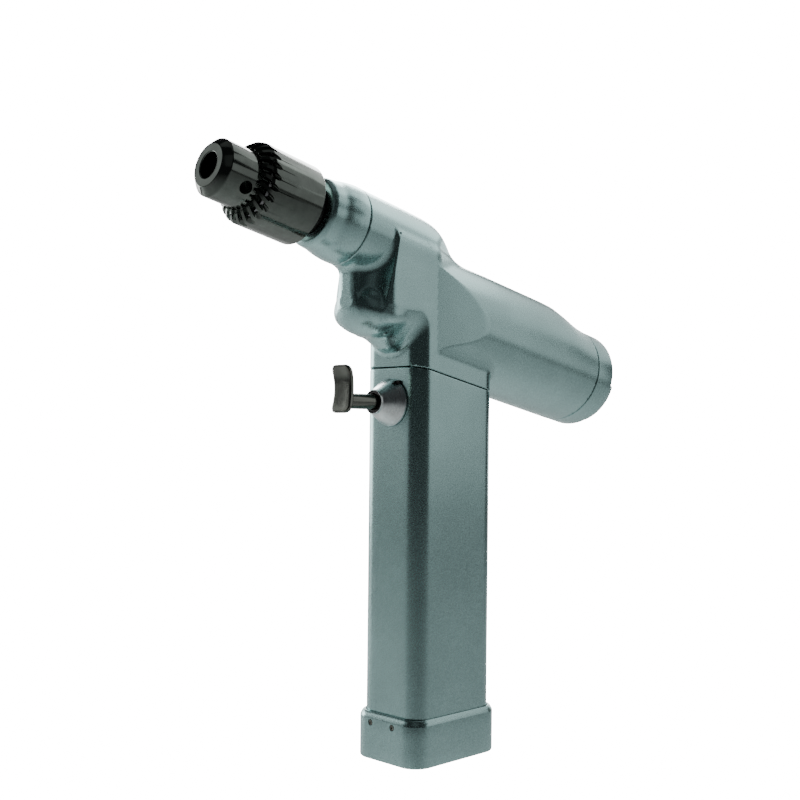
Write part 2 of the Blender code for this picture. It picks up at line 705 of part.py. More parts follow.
def make_rear_cover():
    top = HOUSING_REAR_S - GAP
    spigot_r = MOTOR_BORE_R - GAP
    spigot_s = MOTOR_REAR_S - GAP
    groove = O_RING_WIRE * 2 + GAP
    groove_top = spigot_s - GROOVE_SETBACK
    cavity_r = spigot_r - COVER_SPIGOT_WALL
    profile = [(cavity_r, spigot_s), (spigot_r, spigot_s), (spigot_r, groove_top),
               (spigot_r - groove + GAP, groove_top), (spigot_r - groove + GAP, groove_top - groove),
               (spigot_r, groove_top - groove), (spigot_r, top), (COVER_R, top)]
    profile += arc(COVER_R - COVER_ROUND, COVER_FACE_S + COVER_ROUND, COVER_ROUND, 0.0, -90.0, 3)
    profile += [(0.0, COVER_FACE_S)]
    hollow = top - COVER_HOLLOW
    profile = [(0.0, hollow), (cavity_r - COVER_HOLLOW, hollow), (cavity_r, top)] + profile
    cover = turned("rear_cover", profile, BLASTED, MOTOR_FRAME, steps=36)
    half = GRIP_WIDTH / 2
    end = math.degrees(math.asin(half / GRIP_END_R))
    tip = arc(0.0, 0.0, GRIP_END_R, -end, end, 8)
    outline = tip + [(-x, -y) for x, y in tip]
    small = [(x * GRIP_DRAW_IN, y * GRIP_DRAW_IN) for x, y in outline]
    levels = [(small, COVER_FACE_S - GRIP_HEIGHT), (outline, COVER_FACE_S - GRIP_HEIGHT + GRIP_ROUND),
              (outline, COVER_FACE_S + OVERRUN / 2)]
    grip = place("rear_grip", stacked("rear_grip", levels), None, MOTOR_FRAME, turn=(0.0, 0.0, GRIP_ANGLE),
                 cutter=True)
    cut(cover, grip, "UNION")
    ring_r = spigot_r - groove + GAP + O_RING_WIRE + GAP
    ring_s = groove_top - groove / 2
    turned("cover_o_ring", arc(ring_r, ring_s, O_RING_WIRE - GAP / 2, 90.0, -270.0, 6)[:-1], BLACK_RUBBER,
           MOTOR_FRAME, ring=True)
    return smooth(cover, 35.0)


def make_handle():
    outer = rounded_rectangle(HANDLE_W, HANDLE_D, HANDLE_R)
    inner = rounded_rectangle(HANDLE_W - 2 * HANDLE_WALL, HANDLE_D - 2 * HANDLE_WALL, HANDLE_R - HANDLE_WALL)
    low = CAP_LEDGE_Z + CAP_SEAL + 2 * GAP
    high = SEAM_Z + HANDLE_D / 2
    mesh = tube("handle_shell", [(outer, low), (outer, high)], [(inner, low), (inner, high)])
    handle = place("handle_shell", mesh, BLASTED)
    cut(handle, seam_cutter("handle_trim", SEAM_H - GAP / 2, True))
    cut(handle, rod_cutter("boss_hole", BOSS_TUBE_R + GAP, HANDLE_D / 4, HANDLE_D, TRIGGER_FRAME))
    x, y = lock_pin_place()
    cut(handle, rod_cutter("lock_pin_hole", LOCK_PIN_R + GAP, HANDLE_D / 4, HANDLE_D, TRIGGER_FRAME,
                           (x, y, 0.0), steps=16))
    return smooth(handle, 25.0)


def lock_pin_place():
    reach = BOSS_BASE_R - LOCK_PIN_INSET
    return reach * math.cos(LOCK_PIN_ANGLE), reach * math.sin(LOCK_PIN_ANGLE)


def make_battery_cap():
    outer = rounded_rectangle(CAP_W, CAP_D, CAP_R)
    foot = rounded_rectangle(CAP_W - 2 * CAP_FOOT_ROUND, CAP_D - 2 * CAP_FOOT_ROUND, CAP_R - CAP_FOOT_ROUND)
    rim = GAP + CAP_RIM
    lip = rounded_rectangle(HANDLE_W + 2 * rim, HANDLE_D + 2 * rim, HANDLE_R + rim)
    recess = rounded_rectangle(HANDLE_W + 2 * GAP, HANDLE_D + 2 * GAP, HANDLE_R + GAP)
    thin = HANDLE_WALL + GAP
    well = rounded_rectangle(HANDLE_W - 2 * thin, HANDLE_D - 2 * thin, HANDLE_R - thin)
    levels = [(foot, 0.0), (outer, CAP_FOOT_ROUND), (outer, CAP_H - CAP_SHOULDER), (lip, CAP_H),
              (recess, CAP_H), (recess, CAP_LEDGE_Z), (well, CAP_LEDGE_Z), (well, CAP_FLOOR)]
    cap = place("battery_cap", stacked("battery_cap", levels), BLASTED)
    for number, side in enumerate((-1, 1), 1):
        x = PIN_SHIFT_X + side * PIN_SPACING / 2
        offset = (x, -CAP_D / 2, PIN_Z)
        turn = (math.pi / 2, 0.0, 0.0)
        hole = rod_cutter("pin_hole_%d" % number, PIN_R + GAP / 2, -PIN_LENGTH - GAP, OVERRUN, None, offset,
                          turn, 20)
        cut(cap, hole)
        profile = [(0.0, -PIN_ROUND / 2), (PIN_R - PIN_ROUND, -PIN_ROUND / 2), (PIN_R, -3 * PIN_ROUND / 2),
                   (PIN_R, -PIN_LENGTH), (0.0, -PIN_LENGTH)]
        pin = turned("cap_pin_%d" % number, profile, TRIGGER_STEEL, None, steps=20, offset=offset)
        pin.rotation_euler = turn
    smooth(cap, 25.0)
    outer = rounded_rectangle(HANDLE_W, HANDLE_D, HANDLE_R)
    inner = rounded_rectangle(HANDLE_W - 2 * HANDLE_WALL, HANDLE_D - 2 * HANDLE_WALL, HANDLE_R - HANDLE_WALL)
    low = CAP_LEDGE_Z + GAP
    seal = tube("cap_seal", [(outer, low), (outer, low + CAP_SEAL)], [(inner, low), (inner, low + CAP_SEAL)])
    place("cap_seal", seal, BLACK_RUBBER)


def make_battery():
    """Four cells, two side by side and two high, in a moulded holder that stands in the cap."""
    low = CAP_FLOOR + GAP
    strip = low + STRIP_SEAT
    base = CELL_BASE_Z
    top = HOLDER_TOP_Z
    pitch = CELL_R + GAP + CELL_GAP
    fit = HANDLE_WALL + 2 * GAP
    outline = rounded_rectangle(HANDLE_W - 2 * fit, HANDLE_D - 2 * fit, HANDLE_R - fit)
    mesh = stacked("battery_holder", [(outline, low), (outline, top)])
    holder = place("battery_holder", mesh, HOLDER_PLASTIC)
    for name, side in (("front", -1), ("rear", 1)):
        bore = rod_cutter("cell_bore_" + name, CELL_R + GAP, strip - GAP, top + OVERRUN, None,
                          (0.0, side * pitch, 0.0))
        cut(holder, bore)
        profile = [(CELL_R - GAP, STRIP_THICK), (CELL_R - GAP, 0.0), (0.0, 0.0)]
        turned("contact_strip_" + name, [(0.0, STRIP_THICK)] + profile, NICKEL, None,
               offset=(0.0, side * pitch, strip), steps=24)
        for level in range(2):
            foot = base + level * (CELL_LENGTH + CELL_BUTTON_H + GAP)
            profile = [(0.0, CELL_LENGTH + CELL_BUTTON_H), (CELL_BUTTON_R, CELL_LENGTH + CELL_BUTTON_H),
                       (CELL_BUTTON_R, CELL_LENGTH), (CELL_R - CELL_ROUND, CELL_LENGTH),
                       (CELL_R, CELL_LENGTH - CELL_ROUND), (CELL_R, 0.0), (0.0, 0.0)]
            turned("battery_cell_%s_%d" % (name, level + 1), profile, CELL_WRAP, None, steps=24,
                   offset=(0.0, side * pitch, foot))
    mesh = stacked("battery_contact_plate", [(outline, top + GAP), (outline, BATTERY_TOP_Z)])
    place("battery_contact_plate", mesh, NICKEL)


def make_spindle():
    front = CHUCK_FACE_S - CHUCK_BORE_DEPTH - CHUCK_WEB - GAP
    gear_low = GEAR_S - GAP
    shoulder = GEAR_S + GEAR_WIDTH + GAP
    profile = [(0.0, front), (SPINDLE_R - 2 * GAP, front), (SPINDLE_R, front - 2 * GAP),
               (SPINDLE_R, FRONT_BEARING_S - GAP), (SPINDLE_SHOULDER_R, FRONT_BEARING_S - GAP),
               (SPINDLE_SHOULDER_R, shoulder), (SPINDLE_GEAR_SEAT_R, shoulder), (SPINDLE_GEAR_SEAT_R, gear_low),
               (SPINDLE_TAIL_R, gear_low), (SPINDLE_TAIL_R, REAR_BEARING_S), (0.0, REAR_BEARING_S)]
    turned("spindle", profile, GEAR_STEEL, SPINDLE_FRAME, steps=32)
    spur_gear("spindle_gear", SPINDLE_TEETH, TRANSFER_MODULE, -math.pi / 2 + math.pi / SPINDLE_TEETH, GEAR_S,
              GEAR_WIDTH, SPINDLE_GEAR_SEAT_R + GAP, SPINDLE_FRAME)
    ball_bearing("front_bearing", SPINDLE_FRAME, FRONT_BEARING_S, FRONT_BEARING_W, SPINDLE_R + GAP,
                 FRONT_BEARING_R, 7)
    bush_top = REAR_BEARING_S + REAR_BEARING_W
    bush = [(REAR_BEARING_R, bush_top), (REAR_BEARING_R, REAR_BEARING_S),
            (SPINDLE_TAIL_R + RUN, REAR_BEARING_S), (SPINDLE_TAIL_R + RUN, bush_top)]
    turned("spindle_rear_bush", bush, BRONZE, SPINDLE_FRAME, ring=True)
    retainer_high = FRONT_BEARING_S - GAP
    retainer = [(FRONT_BEARING_R, retainer_high), (FRONT_BEARING_R, NOSE_SPIGOT_S + GAP),
                (FRONT_BEARING_R - RETAINER_WALL, NOSE_SPIGOT_S + GAP),
                (FRONT_BEARING_R - RETAINER_WALL, retainer_high)]
    turned("bearing_retainer", retainer, GEAR_STEEL, SPINDLE_FRAME, ring=True)
    spacer_low = FRONT_BEARING_S + FRONT_BEARING_W + GAP
    spacer_high = CHUCK_FACE_S - CHUCK_LENGTH - GAP
    bore = SPINDLE_R + GAP
    spacer = [(SPACER_R, spacer_high), (SPACER_R, SPACER_STEP_S), (SPACER_NECK_R, SPACER_STEP_S),
              (SPACER_NECK_R, spacer_low), (bore, spacer_low), (bore, spacer_high)]
    turned("chuck_spacer", spacer, BLACK_RUBBER, SPINDLE_FRAME, ring=True)


def jaw_frames():
    """Angles round the chuck at which the jaws sit."""
    return [JAW_ANGLE + math.tau * i / 3 for i in range(3)]


def jaw_matrix(angle):
    """Local Z points forward along the jaw's own slide, from the jaw's tail at rest."""
    tail_depth = JAW_TIP_DEPTH + JAW_LENGTH * math.cos(JAW_TILT)
    radius = JAW_AIM_R + tail_depth * math.tan(JAW_TILT)
    place_at = Matrix.Rotation(angle, 4, "Z") @ Matrix.Translation((radius, 0.0, CHUCK_FACE_S - tail_depth))
    return place_at @ Matrix.Rotation(-JAW_TILT, 4, "Y")


def make_chuck_body():
    rear = CHUCK_FACE_S - CHUCK_LENGTH
    nut_front = CHUCK_FACE_S - NUT_DEPTH + GAP
    nut_rear = CHUCK_FACE_S - NUT_DEPTH - NUT_LENGTH - GAP
    flange_r = SLEEVE_R - SLEEVE_WALL - GAP
    bore_end = CHUCK_FACE_S - CHUCK_BORE_DEPTH
    socket = bore_end - CHUCK_WEB
    profile = [(CHUCK_BORE_R + 0.0003, CHUCK_FACE_S), (CHUCK_FACE_R, CHUCK_FACE_S),
               (CHUCK_R, CHUCK_FACE_S - CHUCK_CHAMFER), (CHUCK_R, nut_front), (NUT_SEAT_R, nut_front),
               (NUT_SEAT_R, nut_rear), (flange_r, nut_rear), (flange_r, rear), (SPINDLE_R + GAP, rear),
               (SPINDLE_R + GAP, socket), (CHUCK_PILOT_R, socket), (CHUCK_PILOT_R, bore_end),
               (CHUCK_BORE_R, bore_end), (CHUCK_BORE_R, CHUCK_FACE_S - 0.0003)]
    body = turned("chuck_body", profile, CHUCK_STEEL, SPINDLE_FRAME, ring=True, steps=32)
    for number, angle in enumerate(jaw_frames(), 1):
        hole = rod_cutter("jaw_bore_%d" % number, JAW_R + GAP, -OVERRUN / 2, JAW_LENGTH + 3 * OVERRUN,
                          SPINDLE_FRAME, steps=16)
        hole.matrix_local = jaw_matrix(angle)
        cut(body, hole)
        key = KEY_HOLE_ANGLE + math.tau * number / 3
        reach = CHUCK_R + OVERRUN
        hole = rod_cutter("key_hole_%d" % number, KEY_HOLE_R, CHUCK_BORE_R + KEY_HOLE_FLOOR, reach,
                          SPINDLE_FRAME, steps=16)
        hole.matrix_local = (Matrix.Translation((0.0, 0.0, CHUCK_FACE_S - KEY_HOLE_DEPTH))
                             @ Matrix.Rotation(key, 4, "Z") @ Matrix.Rotation(math.pi / 2, 4, "Y"))
        cut(body, hole)
    return smooth(body, 30.0)


def make_jaws():
    open_shift = JAW_OPEN_R - JAW_CLOSED_R
    for number, angle in enumerate(jaw_frames(), 1):
        name = "chuck_jaw_%d" % number
        profile = [(0.0, JAW_LENGTH), (JAW_R - JAW_ROUND, JAW_LENGTH), (JAW_R, JAW_LENGTH - JAW_ROUND),
                   (JAW_R, JAW_ROUND), (JAW_R - JAW_ROUND, 0.0), (0.0, 0.0)]
        jaw = turned(name, profile, GEAR_STEEL, SPINDLE_FRAME, steps=24)
        jaw.matrix_local = jaw_matrix(angle)
        wide = 2 * CHUCK_R
        side = math.tan(math.radians(60.0))
        grip = JAW_OPEN_R
        start = (grip - open_shift) * side - GAP
        outline = [(grip, -start), (wide, -(wide - open_shift) * side), (wide, (wide - open_shift) * side),
                   (grip, start)]
        mesh = stacked("jaw_wedge", [(outline, CHUCK_FACE_S - CHUCK_LENGTH), (outline, CHUCK_FACE_S + CHUCK_R)])
        wedge = place("jaw_wedge_%d" % number, mesh, None, SPINDLE_FRAME, turn=(0.0, 0.0, angle), cutter=True)
        cut(jaw, wedge, "INTERSECT")
        smooth(jaw, 30.0)


def make_nut():
    """The nut whose inner thread drives the jaws; its thread follows the cone that the jaws run in."""
    front = CHUCK_FACE_S - NUT_DEPTH
    rear = front - NUT_LENGTH
    outer = SLEEVE_R - SLEEVE_WALL - GAP
    half_threads = 6
    inner = []
    for i in range(1, half_threads + 1):
        s = rear + NUT_LENGTH * i / half_threads
        cone_r = JAW_AIM_R + (CHUCK_FACE_S - s) * math.tan(JAW_TILT) + JAW_R / math.cos(JAW_TILT) + GAP
        inner.append((max(cone_r, NUT_SEAT_R + GAP) + (NUT_THREAD if i % 2 else 0.0), s))
    return turned("chuck_nut", [(outer, front), (outer, rear)] + inner, GEAR_STEEL, SPINDLE_FRAME, ring=True)


def make_sleeve():
    bore = SLEEVE_R - SLEEVE_WALL
    front_bore = CHUCK_R + GAP
    nut_front = CHUCK_FACE_S - NUT_DEPTH + GAP
    bevel = SLEEVE_FRONT_S - SLEEVE_OUTER_FRONT_S
    profile = [(front_bore, SLEEVE_FRONT_S), (front_bore + 0.0003, SLEEVE_FRONT_S),
               (SLEEVE_R - 0.0026, SLEEVE_FRONT_S - bevel * 0.22),
               (SLEEVE_R - 0.0010, SLEEVE_FRONT_S - bevel * 0.58), (SLEEVE_R, SLEEVE_OUTER_FRONT_S)]
    profile += arc(SLEEVE_R - SLEEVE_ROUND, SLEEVE_REAR_S + SLEEVE_ROUND, SLEEVE_ROUND, 0.0, -90.0, 2)
    profile += [(bore, SLEEVE_REAR_S), (bore, nut_front), (front_bore, nut_front)]
    sleeve = turned("chuck_sleeve", profile, CHUCK_STEEL, SPINDLE_FRAME, ring=True, steps=36)
    teeth = place("key_slots", key_slot_mesh(), None, SPINDLE_FRAME, cutter=True)
    cut(sleeve, teeth)
    return smooth(sleeve, 30.0)


def key_slot_mesh():
    """Curved slots of round section, swept from inside the bevel out to the sleeve's outer surface."""
    verts = []
    faces = []
    sections = 2
    sides = 4
    for tooth in range(KEY_TEETH):
        base_angle = math.tau * (tooth + 0.37) / KEY_TEETH
        start = len(verts)
        for i in range(sections):
            share = i / (sections - 1)
            radius = CHUCK_R - 0.0004 + (SLEEVE_R + 0.0018 - CHUCK_R) * share
            along = SLEEVE_FRONT_S + 0.0004 + (KEY_SLOT_END_S + 0.0002 - SLEEVE_FRONT_S) * share ** 1.25
            angle = base_angle - KEY_SLOT_SWEEP * share ** 1.5
            width = KEY_SLOT_R * (0.55 + 0.45 * share)
            for k in range(sides):
                a = math.tau * k / sides
                out = radius + width * 0.5 * math.cos(a)
                turn = angle + width * math.sin(a) / radius
                verts.append((out * math.cos(turn), out * math.sin(turn), along + width * 1.1 * math.cos(a)))
        for i in range(sections - 1):
            for k in range(sides):
                j = (k + 1) % sides
                low = start + i * sides
                faces.append((low + k, low + j, low + sides + j, low + sides + k))
        faces.append(tuple(reversed(range(start, start + sides))))
        faces.append(tuple(range(start + (sections - 1) * sides, start + sections * sides)))
    return mesh_from("key_slots", verts, faces)


def make_gearbox():
    """Transfer gear, planetary stage and its case, on the motor's axis."""
    spur_gear("drive_gear", DRIVE_TEETH, TRANSFER_MODULE, math.pi / 2, GEAR_S, GEAR_WIDTH, OUTPUT_SHAFT_R + GAP,
              MOTOR_FRAME)
    plate_high = GEARBOX_PLATE_S - GAP
    plate_low = plate_high - CARRIER_THICK
    shaft_end = GEAR_S + GEAR_WIDTH
    profile = [(0.0, shaft_end), (OUTPUT_SHAFT_R - GAP, shaft_end), (OUTPUT_SHAFT_R, shaft_end - GAP),
               (OUTPUT_SHAFT_R, plate_high), (CARRIER_R, plate_high), (CARRIER_R, plate_low), (0.0, plate_low)]
    carrier = turned("planet_carrier", profile, GEAR_STEEL, MOTOR_FRAME, steps=BORE_STEPS)
    for number in range(3):
        angle = math.pi / 2 + math.tau * number / 3
        x = PLANET_ORBIT_R * math.cos(angle)
        y = PLANET_ORBIT_R * math.sin(angle)
        pin = rod_cutter("planet_pin_%d" % (number + 1), PLANET_PIN_R, PLANET_S, plate_high - OVERRUN / 2,
                         MOTOR_FRAME, (x, y, 0.0), steps=16)
        cut(carrier, pin, "UNION")
        tooth = angle + math.pi + math.pi / PLANET_TEETH
        spur_gear("planet_gear_%d" % (number + 1), PLANET_TEETH, PLANET_MODULE, tooth, PLANET_S, PLANET_WIDTH,
                  PLANET_PIN_R + GAP, MOTOR_FRAME, (x, y, 0.0))
    smooth(carrier, 30.0)
    spur_gear("sun_gear", SUN_TEETH, PLANET_MODULE, math.pi / 2, PLANET_S, PLANET_WIDTH, MOTOR_SHAFT_R + GAP,
              MOTOR_FRAME)
    seat = BUSH_R + GAP
    tube_r = PLANET_MODULE * RING_TEETH / 2 - PLANET_MODULE
    profile = [(GEARBOX_R, GEARBOX_FRONT_S), (GEARBOX_R, GEARBOX_REAR_S), (tube_r, GEARBOX_REAR_S),
               (tube_r, GEARBOX_PLATE_S), (seat, GEARBOX_PLATE_S), (seat, GEARBOX_FRONT_S)]
    case = turned("ring_gear_case", profile, GEAR_STEEL, MOTOR_FRAME, ring=True)
    outline = gear_outline(RING_TEETH, PLANET_MODULE, math.pi / 2 + math.pi / RING_TEETH, internal=True)
    teeth = stacked("ring_teeth", [(outline, GEARBOX_REAR_S - OVERRUN), (outline, GEARBOX_PLATE_S - GAP / 2)])
    cut(case, place("ring_teeth", teeth, None, MOTOR_FRAME, cutter=True))
    smooth(case, 28.0)
    bush = [(BUSH_R, GEARBOX_FRONT_S), (BUSH_R, GEARBOX_FRONT_S - BUSH_LENGTH),
            (OUTPUT_SHAFT_R + RUN, GEARBOX_FRONT_S - BUSH_LENGTH), (OUTPUT_SHAFT_R + RUN, GEARBOX_FRONT_S)]
    turned("output_bush", bush, BRONZE, MOTOR_FRAME, ring=True, steps=32)


def make_motor():
    front = MOTOR_FRONT_S
    rear = MOTOR_REAR_S
    can_front = front - MOTOR_BELL - GAP
    can_rear = rear + MOTOR_BELL + GAP
    inner = MOTOR_R - MOTOR_WALL
    turned("motor_can", [(MOTOR_R, can_front), (MOTOR_R, can_rear), (inner, can_rear), (inner, can_front)],
           GEAR_STEEL, MOTOR_FRAME, ring=True)
    stator_r = inner - GAP
    coil_front = can_front - STATOR_MARGIN
    coil_rear = can_rear + STATOR_MARGIN
    mouth_r = STATOR_BORE_R + STATOR_MOUTH
    stator = [(stator_r, coil_front), (stator_r, coil_rear), (mouth_r, coil_rear),
              (STATOR_BORE_R, coil_rear + STATOR_MOUTH), (STATOR_BORE_R, coil_front - STATOR_MOUTH),
              (mouth_r, coil_front)]
    turned("stator_winding", stator, WINDING, MOTOR_FRAME, ring=True)
    magnet_r = ROTOR_BORE_R + GAP
    turned("rotor_magnet", [(ROTOR_R, can_front - ROTOR_MARGIN), (ROTOR_R, can_rear + ROTOR_MARGIN),
                            (magnet_r, can_rear + ROTOR_MARGIN), (magnet_r, can_front - ROTOR_MARGIN)],
           MAGNET, MOTOR_FRAME, ring=True, steps=32)
    hub_front = can_front - ROTOR_MARGIN + ROTOR_HUB
    hub_rear = can_rear + ROTOR_MARGIN - ROTOR_HUB
    tip = PLANET_S + PLANET_WIDTH
    shaft = [(0.0, tip), (MOTOR_SHAFT_R, tip), (MOTOR_SHAFT_R, hub_front), (ROTOR_BORE_R, hub_front),
             (ROTOR_BORE_R, hub_rear), (MOTOR_SHAFT_R, hub_rear),
             (MOTOR_SHAFT_R, rear + GAP), (0.0, rear + GAP)]
    turned("rotor_shaft", shaft, GEAR_STEEL, MOTOR_FRAME, steps=24)
    seat = MOTOR_BEARING_R + GAP
    pass_r = MOTOR_SHAFT_R + 2 * GAP
    depth = MOTOR_BEARING_W + GAP
    for name, outside, inward in (("front", front, -1), ("rear", rear, 1)):
        inside = outside + inward * MOTOR_BELL
        step = inside - inward * depth
        high, low = max(outside, inside), min(outside, inside)
        if inward < 0:
            bell = [(MOTOR_R, high), (MOTOR_R, low), (seat, low), (seat, step), (pass_r, step), (pass_r, high)]
        else:
            bell = [(seat, high), (MOTOR_R, high), (MOTOR_R, low), (pass_r, low), (pass_r, step), (seat, step)]
        turned("motor_%s_bell" % name, bell, BOSS_METAL, MOTOR_FRAME, ring=True)
        far = step + inward * GAP
        near = far + inward * MOTOR_BEARING_W
        top, bottom = max(far, near), min(far, near)
        ring = [(MOTOR_BEARING_R, top), (MOTOR_BEARING_R, bottom), (MOTOR_SHAFT_R + RUN, bottom),
                (MOTOR_SHAFT_R + RUN, top)]
        turned("motor_%s_bush" % name, ring, BRONZE, MOTOR_FRAME, ring=True, steps=24)


def make_trigger():
    """Finger plate on its stem, the conical boss that guides it, and the return spring, along the world's Y."""
    back = -PLATE_FRONT_Y - PLATE_THICK
    chamber_front = -CHAMBER_FRONT_Y
    collar_front = chamber_front - GAP
    collar_rear = collar_front - COLLAR_LENGTH
    tube_end = -BOSS_TUBE_END_Y
    stem = [(0.0, back - GAP), (STEM_R, back - GAP), (STEM_R, collar_front), (COLLAR_R, collar_front),
            (COLLAR_R, collar_rear), (STEM_TAIL_R, collar_rear), (STEM_TAIL_R, -STEM_TAIL_Y),
            (0.0, -STEM_TAIL_Y)]
    turned("trigger_stem", stem, TRIGGER_STEEL, TRIGGER_FRAME, steps=32)
    make_plate(back)
    front = -BOSS_FRONT_Y
    base = HANDLE_D / 2 + GAP
    wiper_back = front - WIPER_LENGTH - 2 * GAP
    slide_r = STEM_R + RUN
    boss = [(WIPER_R + GAP, front), (BOSS_RING_R, front), (BOSS_RING_R, front - BOSS_RING_H),
            (BOSS_RING_R + BOSS_STEP, front - BOSS_RING_H - BOSS_STEP), (BOSS_BASE_R, base + BOSS_RIM),
            (BOSS_BASE_R, base),
            (BOSS_TUBE_R, base), (BOSS_TUBE_R, tube_end), (CHAMBER_R, tube_end), (CHAMBER_R, chamber_front),
            (slide_r, chamber_front), (slide_r, wiper_back), (WIPER_R + GAP, wiper_back)]
    boss = turned("trigger_boss", boss, BOSS_METAL, TRIGGER_FRAME, ring=True)
    x, y = lock_pin_place()
    notch = rod_cutter("lock_pin_notch", LOCK_PIN_R + GAP, base - OVERRUN, base + BOSS_REACH, TRIGGER_FRAME,
                       (x, y, 0.0), steps=16)
    cut(boss, notch)
    smooth(boss, 30.0)
    wiper = [(WIPER_R, front - GAP), (WIPER_R, front - GAP - WIPER_LENGTH),
             (STEM_R + RUN, front - GAP - WIPER_LENGTH), (STEM_R + RUN, front - GAP)]
    turned("trigger_wiper", wiper, BLACK_RUBBER, TRIGGER_FRAME, ring=True, steps=32)
    plug_low = tube_end
    plug_high = tube_end + PLUG_LENGTH
    plug = [(CHAMBER_R - GAP, plug_high), (CHAMBER_R - GAP, plug_low), (STEM_TAIL_R + RUN, plug_low),
            (STEM_TAIL_R + RUN, plug_high)]
    turned("spring_plug", plug, BOSS_METAL, TRIGGER_FRAME, ring=True, steps=32)
    nut_high = HANDLE_D / 2 - HANDLE_WALL - GAP
    nut = [(BOSS_NUT_R, nut_high), (BOSS_NUT_R, nut_high - BOSS_NUT_LENGTH),
           (BOSS_TUBE_R + GAP, nut_high - BOSS_NUT_LENGTH), (BOSS_TUBE_R + GAP, nut_high)]
    turned("boss_nut", nut, BOSS_METAL, TRIGGER_FRAME, ring=True, steps=32)
    proud = HANDLE_D / 2 + BOSS_RIM + LOCK_PIN_PROUD
    pin_low = HANDLE_D / 2 - HANDLE_WALL
    pin = [(0.0, proud), (LOCK_PIN_R - PIN_ROUND, proud), (LOCK_PIN_R, proud - PIN_ROUND),
           (LOCK_PIN_R, pin_low), (0.0, pin_low)]
    turned("boss_lock_pin", pin, BLACK_RUBBER, TRIGGER_FRAME, steps=16, offset=(x, y, 0.0))
    magnet_high = -STEM_TAIL_Y - GAP
    magnet = [(0.0, magnet_high), (STEM_TAIL_R, magnet_high), (STEM_TAIL_R, magnet_high - MAGNET_LENGTH),
              (0.0, magnet_high - MAGNET_LENGTH)]
    turned("trigger_magnet", magnet, MAGNET, TRIGGER_FRAME, steps=24)
    make_spring(plug_high + GAP, collar_rear - GAP)


def make_plate(back):
    """Waisted finger plate, dished in front, as a subdivided cage."""
    rows = []
    for low_share in (0.0, 0.12, 0.5, 0.88, 1.0):
        high = -PLATE_LOW + (PLATE_LOW + PLATE_HIGH) * low_share
        bend = 1.0 - (2.0 * low_share - 1.0) ** 2
        width = PLATE_END_W - (PLATE_END_W - PLATE_WAIST_W) * bend
        dish = PLATE_DISH * bend
        rows.append((high, width / 2, dish))
    front = back + PLATE_THICK
    verts = []
    for high, half, dish in rows:
        verts += [(-half, high, back), (half, high, back),
                  (half, high, front - dish), (-half, high, front - dish)]
    faces = []
    for row in range(len(rows) - 1):
        for i in range(4):
            j = (i + 1) % 4
            low = row * 4
            faces.append((low + i, low + j, low + 4 + j, low + 4 + i))
    faces.append((3, 2, 1, 0))
    last = len(verts) - 4
    faces.append((last, last + 1, last + 2, last + 3))
    plate = place("trigger_plate", mesh_from("trigger_plate", verts, faces), TRIGGER_STEEL, TRIGGER_FRAME)
    bevel = plate.modifiers.new("round_edges", "BEVEL")
    bevel.width = PLATE_ROUND
    bevel.segments = 2
    bevel.limit_method = "ANGLE"
    bevel.angle_limit = math.radians(40.0)
    return smooth(plate, 40.0)


def make_spring(low, high):
    """Return spring round the stem's tail, as a wire with flat-lying end turns."""
    mean_r = (CHAMBER_R + STEM_TAIL_R) / 2
    count = SPRING_TURNS * 8 + 1
    curve = bpy.data.curves.new("trigger_spring", "CURVE")
    curve.dimensions = "3D"
    curve.bevel_depth = SPRING_WIRE_R
    curve.bevel_resolution = 2
    curve.use_fill_caps = True
    spline = curve.splines.new("POLY")
    spline.points.add(count - 1)
    span = high - low - 2 * SPRING_WIRE_R
    for i in range(count):
        share = i / (count - 1)
        ease = share - math.sin(math.tau * share) / math.tau * 0.6
        angle = math.tau * SPRING_TURNS * share
        spline.points[i].co = (mean_r * math.cos(angle), mean_r * math.sin(angle),
                               low + SPRING_WIRE_R + span * ease, 1.0)
    spring = bpy.data.objects.new("trigger_spring", curve)
    DRILL.objects.link(spring)
    curve.materials.append(BEARING_STEEL)
    spring.parent = TRIGGER_FRAME


def make_board():
    half = HANDLE_W / 2 - HANDLE_WALL - GAP
    mesh = box_mesh("controller_board", (-half, BOARD_Y, TRIGGER_Z - BOARD_BELOW),
                    (half, BOARD_Y + BOARD_THICK, TRIGGER_Z + BOARD_ABOVE))
    place("controller_board", mesh, BOARD_GREEN)
    reach = SENSOR_SIZE / 2
    mesh = box_mesh("position_sensor", (-reach, BOARD_Y - GAP - SENSOR_THICK, TRIGGER_Z - reach),
                    (reach, BOARD_Y - GAP, TRIGGER_Z + reach))
    place("position_sensor", mesh, HOLDER_PLASTIC)


make_main_housing()
make_nose_housing()
make_rear_cover()
make_handle()
make_battery_cap()
make_battery()
make_spindle()
make_chuck_body()
make_jaws()
make_nut()
make_sleeve()
make_gearbox()
make_motor()
make_trigger()
make_board()
bpy.context.view_layer.update()
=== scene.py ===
"""The dressed surgical drill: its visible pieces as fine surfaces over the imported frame, with their finishes.

All shapes are in metres in the frame of the CAD pieces. The barrel's pieces use a tilted frame of their own:
x is the world's X, s runs forward along the motor's axis from the handle's centre plane, and h rises square
to it.
"""

